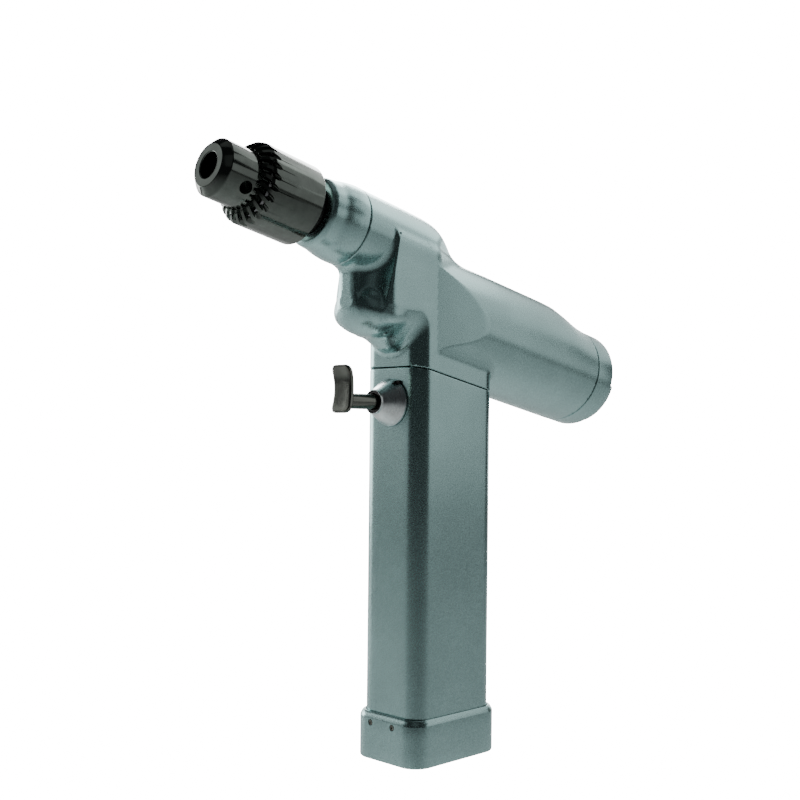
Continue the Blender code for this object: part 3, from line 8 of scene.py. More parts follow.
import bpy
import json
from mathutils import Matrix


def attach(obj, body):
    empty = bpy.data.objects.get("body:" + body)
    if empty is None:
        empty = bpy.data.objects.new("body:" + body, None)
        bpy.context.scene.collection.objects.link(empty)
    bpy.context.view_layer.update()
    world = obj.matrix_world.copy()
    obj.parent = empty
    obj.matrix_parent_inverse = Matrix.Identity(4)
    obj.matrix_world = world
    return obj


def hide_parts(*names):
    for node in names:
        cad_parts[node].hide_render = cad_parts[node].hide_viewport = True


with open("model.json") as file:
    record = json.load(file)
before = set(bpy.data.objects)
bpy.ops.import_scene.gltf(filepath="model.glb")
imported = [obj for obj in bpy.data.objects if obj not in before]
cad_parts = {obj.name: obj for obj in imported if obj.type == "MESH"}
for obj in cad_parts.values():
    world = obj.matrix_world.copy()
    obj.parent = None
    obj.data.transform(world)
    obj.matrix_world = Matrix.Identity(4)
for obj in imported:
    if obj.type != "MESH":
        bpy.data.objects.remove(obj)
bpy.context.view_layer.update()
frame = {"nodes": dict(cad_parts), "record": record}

import json
import math

import bpy
import bmesh
import numpy as np
from mathutils import Quaternion, Vector
from bpy.props import FloatProperty, FloatVectorProperty, IntProperty, PointerProperty

bl_info = {
    "name": "Surgical Drill Dressing",
    "version": (1, 0, 0),
    "blender": (4, 5, 0),
    "location": "3D View > Sidebar > Surgical Drill",
    "description": "Builds the visible pieces of a cordless surgical drill over its CAD frame",
    "category": "Object",
}

TILT = math.radians(11.4)
MOTOR_HEIGHT = 0.1734
GAP = 0.0003

BLASTED = "bead_blasted_aluminium"
TURNED = "turned_stainless_steel"
GUNMETAL = "polished_gunmetal_steel"
RUBBER = "black_silicone_rubber"


# Frames and arrays

def barrel_points(x, s, h):
    """World points of barrel coordinates: y = -s cos(tilt) + h sin(tilt) and
    z = height + s sin(tilt) + h cos(tilt)."""
    x, s, h = np.broadcast_arrays(x, s, h)
    y = -s * math.cos(TILT) + h * math.sin(TILT)
    z = MOTOR_HEIGHT + s * math.sin(TILT) + h * math.cos(TILT)
    return np.stack([x, y, z], axis=-1)


def seam_z(y, h):
    """Height at which a plane of constant h stands over the world's y."""
    return MOTOR_HEIGHT + (h - y * math.sin(TILT)) / math.cos(TILT)


def eased_path(points, radii, closed=True, count=5):
    """A path whose corners are eased: each corner becomes the parabola through its two tangent points."""
    points = np.asarray(points, float)
    radii = np.broadcast_to(np.asarray(radii, float), (len(points),))
    before = np.roll(points, 1, axis=0)
    after = np.roll(points, -1, axis=0)
    out = []
    share = np.linspace(0.0, 1.0, count)[:, None]
    for i in range(len(points)):
        corner = points[i]
        end = not closed and i in (0, len(points) - 1)
        if end or radii[i] <= 0.0:
            out.append(corner[None])
            continue
        back = before[i] - corner
        ahead = after[i] - corner
        back_length = np.linalg.norm(back)
        ahead_length = np.linalg.norm(ahead)
        reach = min(radii[i], 0.48 * back_length, 0.48 * ahead_length)
        first = corner + back / back_length * reach
        last = corner + ahead / ahead_length * reach
        out.append((1 - share) ** 2 * first + 2 * share * (1 - share) * corner + share ** 2 * last)
    return np.concatenate(out)


def grid_faces(rows, columns, closed=False):
    """List of quads over a grid of points whose rows are rings. A closed grid joins its last row to its
    first."""
    r, c = np.meshgrid(np.arange(rows if closed else rows - 1), np.arange(columns), indexing="ij")
    here = r * columns
    above = (r + 1) % rows * columns
    c_next = (c + 1) % columns
    return np.stack([here + c, here + c_next, above + c_next, above + c], -1).reshape(-1, 4).tolist()


def capped_faces(rows, columns):
    """Faces of a tube over a grid of points, each row a ring, with a cap at both ends."""
    ends = [list(range(columns)), list(range((rows - 1) * columns, rows * columns))]
    return grid_faces(rows, columns) + ends


def mesh_of(name, points, faces, merge=True):
    """Mesh from an array of points and a list of faces, its doubles merged and its faces turned outwards."""
    mesh = bpy.data.meshes.new(name)
    mesh.from_pydata(points.reshape(-1, 3).tolist(), [], faces)
    work = bmesh.new()
    work.from_mesh(mesh)
    if merge:
        bmesh.ops.remove_doubles(work, verts=work.verts, dist=1e-7)
    bmesh.ops.recalc_face_normals(work, faces=work.faces)
    if work.calc_volume(signed=True) < 0.0:
        bmesh.ops.reverse_faces(work, faces=work.faces)
    work.to_mesh(mesh)
    work.free()
    return mesh


def linked(data):
    """New object in the scene for a mesh, light or camera."""
    item = bpy.data.objects.new(data.name, data)
    bpy.context.scene.collection.objects.link(item)
    return item


def smooth(mesh, sharp):
    """Shades a mesh smooth between edges sharper than an angle in degrees."""
    mesh.shade_smooth()
    mesh.set_sharp_from_angle(angle=math.radians(sharp))


def add_piece(mesh, sharp=35.0):
    """Object of a smoothly shaded mesh."""
    smooth(mesh, sharp)
    return linked(mesh)


def carry(piece, body, slot, *nodes):
    """The piece rides on its body, takes its slot's finish and stands for its CAD nodes."""
    piece.data.materials.clear()
    piece.data.materials.append(bpy.data.materials[slot])
    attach(piece, body)
    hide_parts(*nodes)


def turned(name, profile, rise, steps=96, to_world=barrel_points):
    """Surface of revolution: the profile of (radius, s) carried round the axis at height rise."""
    profile = np.asarray(profile, float)
    angle = full_turn(steps)
    radius = profile[:, 0][:, None]
    points = to_world(radius * np.cos(angle), np.broadcast_to(profile[:, 1][:, None], (len(profile), steps)),
                      rise + radius * np.sin(angle))
    # a profile that keeps off the axis is a closed loop
    ring = profile[0, 0] > 1e-6 and profile[-1, 0] > 1e-6
    return mesh_of(name, points, grid_faces(len(profile), steps, ring))


def full_turn(steps):
    """Evenly spaced angles round a circle."""
    return np.linspace(0.0, math.tau, steps, endpoint=False)


def trigger_points(x, s, h):
    """World points of the trigger's own frame: s runs forward along -Y, h rises along Z."""
    x, s, h = np.broadcast_arrays(x, s, h)
    return np.stack([x, -s, h], axis=-1)


def rounded_outline(width, depth, radius):
    """Rectangle with round corners as an array of (x, y), counter-clockwise, with points along its sides."""
    corner, side = 14, 6
    outline = []
    turns = np.radians(np.linspace(0.0, 90.0, corner))
    middles = [(1, 1, 0.0), (-1, 1, 90.0), (-1, -1, 180.0), (1, -1, 270.0)]
    for sx, sy, start in middles:
        a = turns + math.radians(start)
        cx = sx * (width / 2 - radius)
        cy = sy * (depth / 2 - radius)
        outline.append(np.stack([cx + radius * np.cos(a), cy + radius * np.sin(a)], -1))
    path = np.concatenate(outline)
    after = np.roll(path, -1, axis=0)
    full = []
    for i in range(len(path)):
        full.append(path[i][None])
        if (i + 1) % corner == 0:
            share = np.linspace(0.0, 1.0, side + 2)[1:-1, None]
            full.append(path[i] + (after[i] - path[i]) * share)
    return np.concatenate(full)


def level(z):
    """Height of a row that lies level."""
    return lambda y: np.full(len(y), z)


def shell_rows(rows):
    """Rows of a walled box: each row is (width, depth, radius, function of y that gives its height)."""
    levels = []
    for width, depth, radius, height in rows:
        outline = rounded_outline(width, depth, radius)
        levels.append(np.column_stack([outline, height(outline[:, 1])]))
    return np.stack(levels)


def cut_out(piece, cutters):
    """Takes the cutters' volumes out of a piece and keeps the result as its mesh."""
    for cutter in cutters:
        boolean = piece.modifiers.new("cut", "BOOLEAN")
        boolean.object = cutter
        boolean.solver = "EXACT"
    graph = bpy.context.evaluated_depsgraph_get()
    graph.update()
    mesh = bpy.data.meshes.new_from_object(piece.evaluated_get(graph))
    piece.modifiers.clear()
    piece.data = mesh
    for cutter in cutters:
        bpy.data.objects.remove(cutter, do_unlink=True)
    smooth(mesh, 32.0)


# Implicit shapes, in millimetres

def soft_union(a, b, k):
    """Union of two distance fields with a fillet of about k: the nearer, less (k - |a - b|)^2 / 4k."""
    reach = np.maximum(k - np.abs(a - b), 0.0)
    return np.minimum(a, b) - reach * reach / (4.0 * k)


def soft_cut(a, b, k):
    """Intersection of two distance fields with an edge eased by about k."""
    reach = np.maximum(k - np.abs(a - b), 0.0)
    return np.maximum(a, b) + reach * reach / (4.0 * k)


def round_cut(a, b, r):
    """Intersection of two distance fields with an edge of radius r."""
    outside = np.hypot(np.maximum(a + r, 0.0), np.maximum(b + r, 0.0))
    return np.minimum(np.maximum(a, b), -r) + outside


def net_of(field, low, cell, shape):
    """Surface net: one vertex for each cell that the surface crosses, at the mean of its edge crossings, and
    one quad for each grid edge that it crosses."""
    axes = [low[i] + cell * np.arange(shape[i]) for i in range(3)]
    value = field(*np.meshgrid(*axes, indexing="ij"))
    inside = value < 0.0
    cells = np.array(shape) - 1
    total = int(np.prod(cells))
    sums = np.zeros((total, 3))
    counts = np.zeros(total)
    edges = []
    for axis in range(3):
        first = [slice(None)] * 3
        second = [slice(None)] * 3
        first[axis] = slice(0, -1)
        second[axis] = slice(1, None)
        a = value[tuple(first)]
        b = value[tuple(second)]
        crossing = np.argwhere(inside[tuple(first)] != inside[tuple(second)])
        index = tuple(crossing.T)
        place = crossing.astype(float)
        place[:, axis] += a[index] / (a[index] - b[index])
        others = [i for i in range(3) if i != axis]
        around = []
        for u, v in ((0, 0), (-1, 0), (-1, -1), (0, -1)):
            cell_index = crossing.copy()
            cell_index[:, others[0]] += u
            cell_index[:, others[1]] += v
            valid = np.all((cell_index >= 0) & (cell_index < cells), axis=1)
            flat = np.where(valid, np.ravel_multi_index(np.clip(cell_index, 0, cells - 1).T, cells), -1)
            around.append(flat)
            used = flat[valid]
            for k in range(3):
                sums[:, k] += np.bincount(used, weights=place[valid, k], minlength=total)
            counts += np.bincount(used, minlength=total)
        around = np.stack(around, -1)
        whole = np.all(around >= 0, axis=1)
        flip = inside[tuple(first)][index][whole]
        quads = around[whole]
        if axis == 1:
            flip = ~flip
        quads[flip] = quads[flip][:, ::-1]
        edges.append(quads)
    used = counts > 0
    number = np.cumsum(used) - 1
    points = np.array(low) + cell * (sums[used] / counts[used][:, None])
    return points, number[np.concatenate(edges)]


def slope_of(field, points, step=0.02):
    """Gradient of a field by central differences."""
    slope = np.empty_like(points)
    for axis in range(3):
        ahead = points.copy()
        behind = points.copy()
        ahead[:, axis] += step
        behind[:, axis] -= step
        slope[:, axis] = (field(*ahead.T) - field(*behind.T)) / (2.0 * step)
    return slope


def settle(field, points, quads, rounds):
    """Evens the net out, then drops each point back on the surface along the field's slope."""
    one = quads.ravel()
    other = np.roll(quads, -1, axis=1).ravel()
    weight = np.bincount(one, minlength=len(points)) + np.bincount(other, minlength=len(points))
    for _ in range(rounds):
        mean = np.empty_like(points)
        for k in range(3):
            mean[:, k] = (np.bincount(one, weights=points[other, k], minlength=len(points))
                          + np.bincount(other, weights=points[one, k], minlength=len(points))) / weight
        points = points + 0.6 * (mean - points)
        for _ in range(2):
            slope = slope_of(field, points)
            steep = np.maximum((slope ** 2).sum(1), 0.05)
            move = slope * (field(*points.T) / steep)[:, None]
            length = np.linalg.norm(move, axis=1)[:, None]
            points = points - move * np.minimum(1.0, 0.5 / np.maximum(length, 1e-9))
    return points


def eased_height(knots, rises, s):
    """Height over the motor's axis, in mm, along the barrel: straight runs between knots, eased by a Gauss
    bell."""
    fine = np.arange(-95.0, 30.1, 0.25)
    kernel = np.exp(-0.5 * (np.arange(-8, 9) * 0.25 / 0.9) ** 2)
    padded = np.pad(np.interp(fine, knots, rises), 8, mode="edge")
    return np.interp(s, fine, np.convolve(padded, kernel / kernel.sum(), mode="valid"))


def motor_back(s):
    """Height of the motor barrel's back: round at the cover, then raised over the motor."""
    knots = [-95.0, -87.4, -82.0, -77.0, -71.0, -64.0, -58.0, -20.0, -7.0]
    rises = [21.19, 21.19, 21.7, 22.8, 24.6, 26.1, 26.3, 26.1, 25.8]
    return eased_height(knots, rises, s)


def gear_back(s):
    """Height of the slope's ridge, by which the gear barrel's back falls to the motor barrel's."""
    knots = [-7.0, -3.0, -1.0, 1.0, 3.4, 7.6, 12.6, 14.4, 16.5, 21.0, 30.0]
    rises = [23.4, 25.2, 26.2, 27.0, 28.9, 32.5, 36.3, 37.15, 37.8, 38.8, 39.5]
    return eased_height(knots, rises, s)


# Sizes and colours

def metres(name, description, default):
    return FloatProperty(name=name, description=description, default=default, subtype="DISTANCE")


def tint(name, description, default):
    return FloatVectorProperty(name=name, description=description, default=default, min=0.0, max=1.0,
                               subtype="COLOR")


class DrillSizes(bpy.types.PropertyGroup):
    """Sizes of the drill's visible pieces."""
    spindle_rise: metres("Spindle rise", "Height of the spindle over the motor's axis", 0.0225)
    gear_barrel_radius: metres("Gear barrel radius", "Radius of the front barrel", 0.01513)
    motor_barrel_radius: metres("Motor barrel radius", "Radius of the barrel's lower half", 0.02119)
    housing_front: metres("Housing front", "Front face of the main housing along the barrel", 0.0536)
    housing_rear: metres("Housing rear", "Rear face of the main housing along the barrel", -0.0874)
    flat_start: metres("Side flat start", "Where the side flats start to widen, ahead of the handle's middle",
                       0.0135)
    flat_slope: FloatProperty(name="Side flat slope", default=0.208,
                              description="Widening of the side flats for each unit rearwards")
    scoop_radius: metres("Scoop radius", "Radius of the finger scoops", 0.0115)
    housing_cell: metres("Housing grid", "Grid spacing of the main housing's surface", 0.0008)
    seam_height: metres("Seam height", "Height of the handle seam over the motor's axis", -0.0233)
    handle_width: metres("Handle width", "Width of the handle across X", 0.0322)
    handle_depth: metres("Handle depth", "Depth of the handle along Y", 0.0446)
    handle_corner: metres("Handle corner", "Corner radius of the handle", 0.0070)
    cap_height: metres("Cap height", "Height of the battery cap", 0.0185)
    cap_width: metres("Cap width", "Width of the battery cap", 0.0357)
    cap_depth: metres("Cap depth", "Depth of the battery cap", 0.0492)
    cap_corner: metres("Cap corner", "Corner radius of the battery cap", 0.0080)
    sleeve_radius: metres("Sleeve radius", "Outer radius of the chuck's sleeve", 0.0150)
    sleeve_front: metres("Sleeve front", "Front edge of the chuck's sleeve", 0.1025)
    sleeve_rear: metres("Sleeve rear", "Rear edge of the chuck's sleeve", 0.0761)
    key_teeth: IntProperty(name="Key teeth", description="Teeth that the chuck key engages", default=24,
                           min=8, max=48)
    chuck_face: metres("Chuck face", "Front face of the chuck", 0.1165)
    chuck_radius: metres("Chuck nose radius", "Radius of the chuck's nose", 0.0105)
    trigger_height: metres("Trigger height", "Height of the trigger's stem", 0.1404)


class DrillFinishes(bpy.types.PropertyGroup):
    """Colours of the drill's finishes."""
    blasted: tint("Blasted metal", "Bead-blasted aluminium", (0.370, 0.555, 0.545))
    chuck: tint("Chuck steel", "Turned stainless steel", (0.108, 0.125, 0.113))
    trigger: tint("Trigger steel", "Polished gunmetal steel", (0.150, 0.160, 0.142))
    boss: tint("Boss metal", "Turned aluminium", (0.70, 0.76, 0.76))


# Finishes

def linear(code):
    """Linear colour of an sRGB hex code such as 8FA3A1."""
    parts = [int(code[i:i + 2], 16) / 255.0 for i in (0, 2, 4)]
    return tuple(p / 12.92 if p <= 0.04045 else ((p + 0.055) / 1.055) ** 2.4 for p in parts) + (1.0,)


def node(tree, kind, settings=None, links=None):
    """Adds a node, sets its properties and input values, and links named inputs from other nodes' outputs."""
    item = tree.nodes.new(kind)
    for key, value in (settings or {}).items():
        if isinstance(key, str) and hasattr(item, key):
            setattr(item, key, value)
        else:
            item.inputs[key].default_value = value
    for key, source in (links or {}).items():
        tree.links.new(source, item.inputs[key])
    return item


def new_finish(slot, metallic, roughness):
    """An empty finish: its tree, its shader and the object coordinates in millimetres."""
    material = bpy.data.materials.get(slot) or bpy.data.materials.new(slot)
    material.use_nodes = True
    tree = material.node_tree
    tree.nodes.clear()
    output = tree.nodes.new("ShaderNodeOutputMaterial")
    shader = node(tree, "ShaderNodeBsdfPrincipled", {"Metallic": metallic, "Roughness": roughness})
    tree.links.new(shader.outputs["BSDF"], output.inputs["Surface"])
    place = tree.nodes.new("ShaderNodeTexCoord")
    scale = node(tree, "ShaderNodeMapping", {"Scale": (1000.0, 1000.0, 1000.0)},
                 {"Vector": place.outputs["Object"]})
    return tree, shader, scale.outputs["Vector"]


def noise(tree, vector, scale, detail=3.0, roughness=0.5):
    """Noise whose grain is 1 / scale millimetres."""
    settings = {"Scale": scale, "Detail": detail, "Roughness": roughness}
    return node(tree, "ShaderNodeTexNoise", settings, {"Vector": vector}).outputs["Fac"]


def spread(tree, factor, low, high, from_low=0.3, from_high=0.7):
    """Maps a factor to a range of numbers."""
    settings = {"From Min": from_low, "From Max": from_high, "To Min": low, "To Max": high}
    return node(tree, "ShaderNodeMapRange", settings, {"Value": factor}).outputs["Result"]


def shade(tree, factor, dark, light, low=0.3, high=0.7):
    """Colour between two linear colours."""
    ramp = node(tree, "ShaderNodeValToRGB", links={"Fac": factor})
    for stop, position, colour in zip(ramp.color_ramp.elements, (low, high), (dark, light)):
        stop.position = position
        stop.color = colour
    return ramp.outputs["Color"]


def roughen(tree, shader, height, strength, distance):
    """Bump from a height, with its real depth in metres."""
    bump = node(tree, "ShaderNodeBump", {"Strength": strength, "Distance": distance}, {"Height": height})
    tree.links.new(bump.outputs["Normal"], shader.inputs["Normal"])


def toned(colour, factor):
    return tuple(min(1.0, value * factor) for value in colour[:3]) + (1.0,)


def blasted_finish(slot, colour):
    """Aluminium blasted with glass beads and passivated: a grey-green satin that spreads every highlight
    wide, with a grain of about 0.35 mm and cloudy patches a few centimetres across."""
    tree, shader, place = new_finish(slot, 1.0, 0.34)
    grain = noise(tree, place, 3.0, 3.0, 0.7)
    cloud = noise(tree, place, 0.045, 2.0)
    base = shade(tree, cloud, toned(colour, 0.94), toned(colour, 1.06))
    speck = shade(tree, grain, (0.84, 0.85, 0.85, 1.0), (1.08, 1.08, 1.08, 1.0), 0.34, 0.66)
    mix = node(tree, "ShaderNodeMix", {"data_type": "RGBA", "blend_type": "MULTIPLY", "Factor": 1.0})
    tree.links.new(base, mix.inputs[6])
    tree.links.new(speck, mix.inputs[7])
    tree.links.new(mix.outputs[2], shader.inputs["Base Color"])
    tree.links.new(spread(tree, grain, 0.22, 0.32), shader.inputs["Roughness"])
    roughen(tree, shader, grain, 0.35, 0.00005)


def turned_finish(slot, colour, low, high, pitch, depth):
    """Metal turned on a lathe: fine rings round its axis, which draw the light into long streaks along it."""
    tree, shader, place = new_finish(slot, 1.0, (low + high) / 2)
    turn = node(tree, "ShaderNodeMapping", {"Rotation": (TILT, 0.0, 0.0), "Scale": (0.02, 1.0, 0.02)},
                {"Vector": place})
    rings = noise(tree, turn.outputs["Vector"], 1.0 / pitch, 4.0, 0.7)
    stain = noise(tree, place, 0.25, 3.0)
    tree.links.new(shade(tree, stain, toned(colour, 0.85), toned(colour, 1.1)), shader.inputs["Base Color"])
    tree.links.new(spread(tree, rings, low, high), shader.inputs["Roughness"])
    roughen(tree, shader, rings, 0.25, depth)


def plain_metal(slot, colour, low, high, grain=1.2, depth=0.00001):
    """Ground or plated metal: an even colour with faint smears in its polish."""
    tree, shader, place = new_finish(slot, 1.0, (low + high) / 2)
    smear = noise(tree, place, grain, 4.0, 0.6)
    tree.links.new(shade(tree, smear, toned(colour, 0.9), toned(colour, 1.08)), shader.inputs["Base Color"])
    tree.links.new(spread(tree, smear, low, high), shader.inputs["Roughness"])
    roughen(tree, shader, smear, 0.2, depth)


def plain_solid(slot, colour, low, high, grain=2.0):
    """Moulded rubber, nylon, film or board: a dull or shiny skin with a fine moulded grain."""
    tree, shader, place = new_finish(slot, 0.0, (low + high) / 2)
    shader.inputs["IOR"].default_value = 1.5
    skin = noise(tree, place, grain, 3.0, 0.6)
    tree.links.new(shade(tree, skin, toned(colour, 0.85), toned(colour, 1.15)), shader.inputs["Base Color"])
    tree.links.new(spread(tree, skin, low, high), shader.inputs["Roughness"])
    roughen(tree, shader, skin, 0.3, 0.00003)


class DRILL_OT_finishes(bpy.types.Operator):
    """Makes every finish and gives the CAD nodes theirs"""
    bl_idname = "drill.finishes"
    bl_label = "Finishes"

    def execute(self, context):
        colours = context.scene.drill_finishes
        blasted_finish(BLASTED, colours.blasted)
        # turned stainless steel: warm grey, lathe rings about 0.15 mm apart
        turned_finish(TURNED, colours.chuck, 0.08, 0.17, 0.15, 0.000006)
        # polished gunmetal steel: dark, smooth, faint smears
        plain_metal(GUNMETAL, colours.trigger, 0.14, 0.26, 0.6)
        # turned aluminium: bright, rings about 0.2 mm apart
        turned_finish("turned_aluminium", colours.boss, 0.26, 0.38, 0.2, 0.000006)
        # hardened gear steel: dark grey, ground
        plain_metal("hardened_gear_steel", linear("7C7D7F"), 0.25, 0.4)
        # bearing steel: bright, ground to a mirror
        plain_metal("ground_bearing_steel", linear("C9CACC"), 0.1, 0.2)
        # silicone rubber: black with a dull bloom
        plain_solid(RUBBER, linear("141414"), 0.45, 0.65)
        # sintered bronze: brown, open-pored
        plain_metal("sintered_bronze", linear("AC8458"), 0.35, 0.5, 4.0, 0.00003)
        # enamelled copper wire: red-brown under varnish
        plain_metal("enamelled_copper", linear("B0602E"), 0.25, 0.4, 3.0)
        # nickel plating on a magnet
        plain_metal("nickel_plated_magnet", linear("B9B7B0"), 0.15, 0.28)
        # shrink sleeve: blue film drawn tight over a cell
        plain_solid("shrink_wrapped_cell", linear("24527E"), 0.25, 0.4, 0.5)
        # moulded nylon: black with a spark-eroded grain
        plain_solid("moulded_black_nylon", linear("1C1C1D"), 0.4, 0.6, 3.0)
        # nickel strip: pale, rolled
        plain_metal("nickel_strip", linear("C9C5BC"), 0.2, 0.35)
        # solder mask: green lacquer over a glass board
        plain_solid("solder_masked_board", linear("1B5A38"), 0.25, 0.4, 1.0)
        slots = {part["node"]: part["material_slot"] for part in frame["record"]["subparts"]}
        for name, item in frame["nodes"].items():
            if not item.material_slots:
                item.data.materials.append(bpy.data.materials[slots[name]])
            for holder in item.material_slots:
                holder.material = bpy.data.materials[slots[name]]
        return {"FINISHED"}


# Main housing

def oval(x, h, half_width, half_height):
    """Near distance to an upright oval: its share of the oval's size, less one, times its half width."""
    return (np.hypot(x / half_width, h / half_height) - 1.0) * half_width


def ellipsoid(x, y, z, radii, scale):
    """Near distance to an ellipsoid about the origin."""
    return (np.sqrt((x / radii[0]) ** 2 + (y / radii[1]) ** 2 + (z / radii[2]) ** 2) - 1.0) * scale


def shoulder(side, y):
    """Distance over the upright plane that draws the gear barrel's rear end in towards the motor barrel's
    ridge."""
    return (side - 16.1 + 0.44 * (y + 14.4)) * 0.915


def web_field(x, y, z, s, h, size):
    """The block under the gear barrel: a U-shaped section with a nose rounded in plan and below, less the two
    scoops, plus the ball that stands in them and the bulge against the neck, faced off at the front."""
    side = np.abs(x)
    sole, foot = 165.2, 12.0
    across = side - (size["half"] - foot)
    below = sole + foot - z
    block = np.minimum(np.maximum(across, below), 0.0)
    block = block + np.hypot(np.maximum(across, 0), np.maximum(below, 0)) - foot
    nose_y, nose_z = -33.3, 177.5
    nose = ellipsoid(x, np.minimum(y - nose_y, 0.0), np.minimum(z - nose_z, 0.0), (16.1, 13.3, 12.4), 13.0)
    block = np.where(y < nose_y, soft_cut(block, nose, 0.6), block)
    block = np.maximum(block, y - 4.0)
    block = soft_cut(block, h - size["rise"], 4.0)
    block = soft_cut(block, shoulder(side, y) - 1.5 * np.maximum(17.0 - h, 0.0), 0.8)
    scoop = np.hypot(side - 16.0, s - 50.4) - size["scoop"]
    block = soft_cut(block, -scoop, 0.7)
    # the ball's middle sinks towards the sides, so the scoops' floor slants down and out
    middle = 179.0 - 0.4 * side
    ball = ellipsoid(x, y + 33.0, z - middle, (15.6, 13.6, np.where(z > middle, 11.0, middle - sole)), 11.8)
    block = soft_union(block, ball, 0.8)
    bulge = ellipsoid(x, y + 23.2, z - 169.7, (10.6, 9.0, 9.7), 9.8)
    return np.maximum(soft_union(block, bulge, 3.5), -46.5 - y)


def housing_field(x, s, h):
    """Distance field of the main housing in barrel millimetres: motor barrel, neck and web joined with
    fillets, held between the side flats, joined to the gear barrel, trimmed by the seams, less the bores."""
    size = HOUSING
    y = -s * math.cos(TILT) + h * math.sin(TILT)
    z = MOTOR_HEIGHT * 1000.0 + s * math.sin(TILT) + h * math.cos(TILT)
    side = np.abs(x)
    motor = oval(x, h, size["motor"], np.where(h > 0.0, motor_back(s), size["motor"]))
    motor = np.maximum(motor, -13.5 - y)
    across = side - (size["half"] - size["corner"])
    along = np.abs(y) - (size["depth"] / 2 - size["corner"])
    neck = np.minimum(np.maximum(across, along), 0.0) - size["corner"]
    neck = neck + np.hypot(np.maximum(across, 0.0), np.maximum(along, 0.0))
    neck = np.maximum(neck, z - 176.0)
    body = soft_union(motor, neck, 2.5)
    body = soft_union(body, web_field(x, y, z, s, h, size), 3.0)
    limit = size["half"] + size["slope"] * np.maximum(y + size["flat"], 0.0)
    body = soft_cut(body, (side - limit) * 0.984, 0.35)
    spindle = np.hypot(x, h - size["rise"])
    gear = soft_cut(spindle - size["gear"], shoulder(side, y), 0.8)
    gear = soft_cut(gear, oval(x, np.maximum(h, 0.0), size["motor"], gear_back(s)), 1.5)
    gear = np.maximum(gear, -7.0 - s)
    body = soft_union(body, gear, 3.0)
    seam_edge = 0.35
    body = round_cut(body, s - size["front"], seam_edge)
    body = round_cut(body, size["rear"] - s, seam_edge)
    body = round_cut(body, size["seam"] - h, seam_edge)
    drive = np.hypot(x, h)
    bores = np.minimum.reduce([
        np.maximum(spindle - 13.1, 15.5 - s),  # front bearing, open to the nose
        np.maximum(spindle - 8.3, 11.0 - s),  # seat of the spindle's rear bush
        np.maximum(drive - 12.6, s - 23.5),  # pocket of the drive gear
        np.maximum(drive - 15.5, s - 9.6),  # gearbox
        np.maximum(drive - 19.3, s + 12.2),  # motor, open to the cover
        np.maximum(np.maximum(side - 12.0, np.abs(y - 4.0) - 12.0), z - 166.0),  # well over the handle
    ])
    return np.maximum(body, -bores)


# the main housing's sizes in millimetres, set by its operator before it calls the field
HOUSING = {}


class DRILL_OT_main_housing(bpy.types.Operator):
    """Builds the main housing: barrel, neck, side flats, scoops and bulge as one cast and blasted form"""
    bl_idname = "drill.main_housing"
    bl_label = "Main housing"

    def execute(self, context):
        size = context.scene.drill_sizes
        lengths = {
            "half": size.handle_width / 2, "depth": size.handle_depth, "corner": size.handle_corner,
            "motor": size.motor_barrel_radius, "gear": size.gear_barrel_radius, "rise": size.spindle_rise,
            "front": size.housing_front, "rear": size.housing_rear, "seam": size.seam_height + GAP / 2,
            "flat": size.flat_start, "scoop": size.scoop_radius,
        }
        HOUSING.update({key: value * 1000.0 for key, value in lengths.items()}, slope=size.flat_slope)
        cell = size.housing_cell * 1000.0
        low = np.array([-22.6, -89.0, -25.0])
        high = np.array([22.6, 55.4, 39.6])
        shape = tuple(np.ceil((high - low) / cell).astype(int) + 1)
        points, quads = net_of(housing_field, low, cell, shape)
        points = settle(housing_field, points, quads, 4)
        slope = slope_of(housing_field, points)
        slope /= np.linalg.norm(slope, axis=1)[:, None]
        world = barrel_points(*(points.T / 1000.0))
        mesh = mesh_of("main_housing_form", world, quads.tolist(), merge=False)
        mesh.shade_smooth()
        # the field's slope gives finer normals than the net's faces do
        normals = barrel_points(*slope.T) - np.array([0.0, 0.0, MOTOR_HEIGHT])
        mesh.normals_split_custom_set_from_vertices(normals.tolist())
        carry(linked(mesh), "housing", BLASTED, "main_housing")
        return {"FINISHED"}


class DRILL_OT_nose_housing(bpy.types.Operator):
    """Turns the nose housing with its flared shoulder and bearing seat"""
    bl_idname = "drill.nose_housing"
    bl_label = "Nose housing"

    def execute(self, context):
        size = context.scene.drill_sizes
        front = 0.0705
        back = size.housing_front + GAP
        outer = size.gear_barrel_radius
        profile = [(0.0095, front), (0.0122, front), (0.01325, front - 0.0016), (0.0135, front - 0.0040),
                   (0.01372, front - 0.0064), (0.0144, front - 0.0090), (outer - 0.0002, front - 0.0122),
                   (outer, front - 0.0145), (outer, back), (0.0127, back), (0.0127, 0.0415), (0.0106, 0.0415),
                   (0.0106, 0.0508), (0.0095, 0.0508)]
        ease = [0.0003, 0.0012, 0.0013, 0.001, 0.0012, 0.0014, 0.0015, 0.001, 0.0003, 0.0002, 0.0002, 0.0002,
                0.0002, 0.0002]
        mesh = turned("nose_housing_form", eased_path(profile, ease, count=7), size.spindle_rise, 128)
        carry(add_piece(mesh), "housing", BLASTED, "nose_housing")
        return {"FINISHED"}


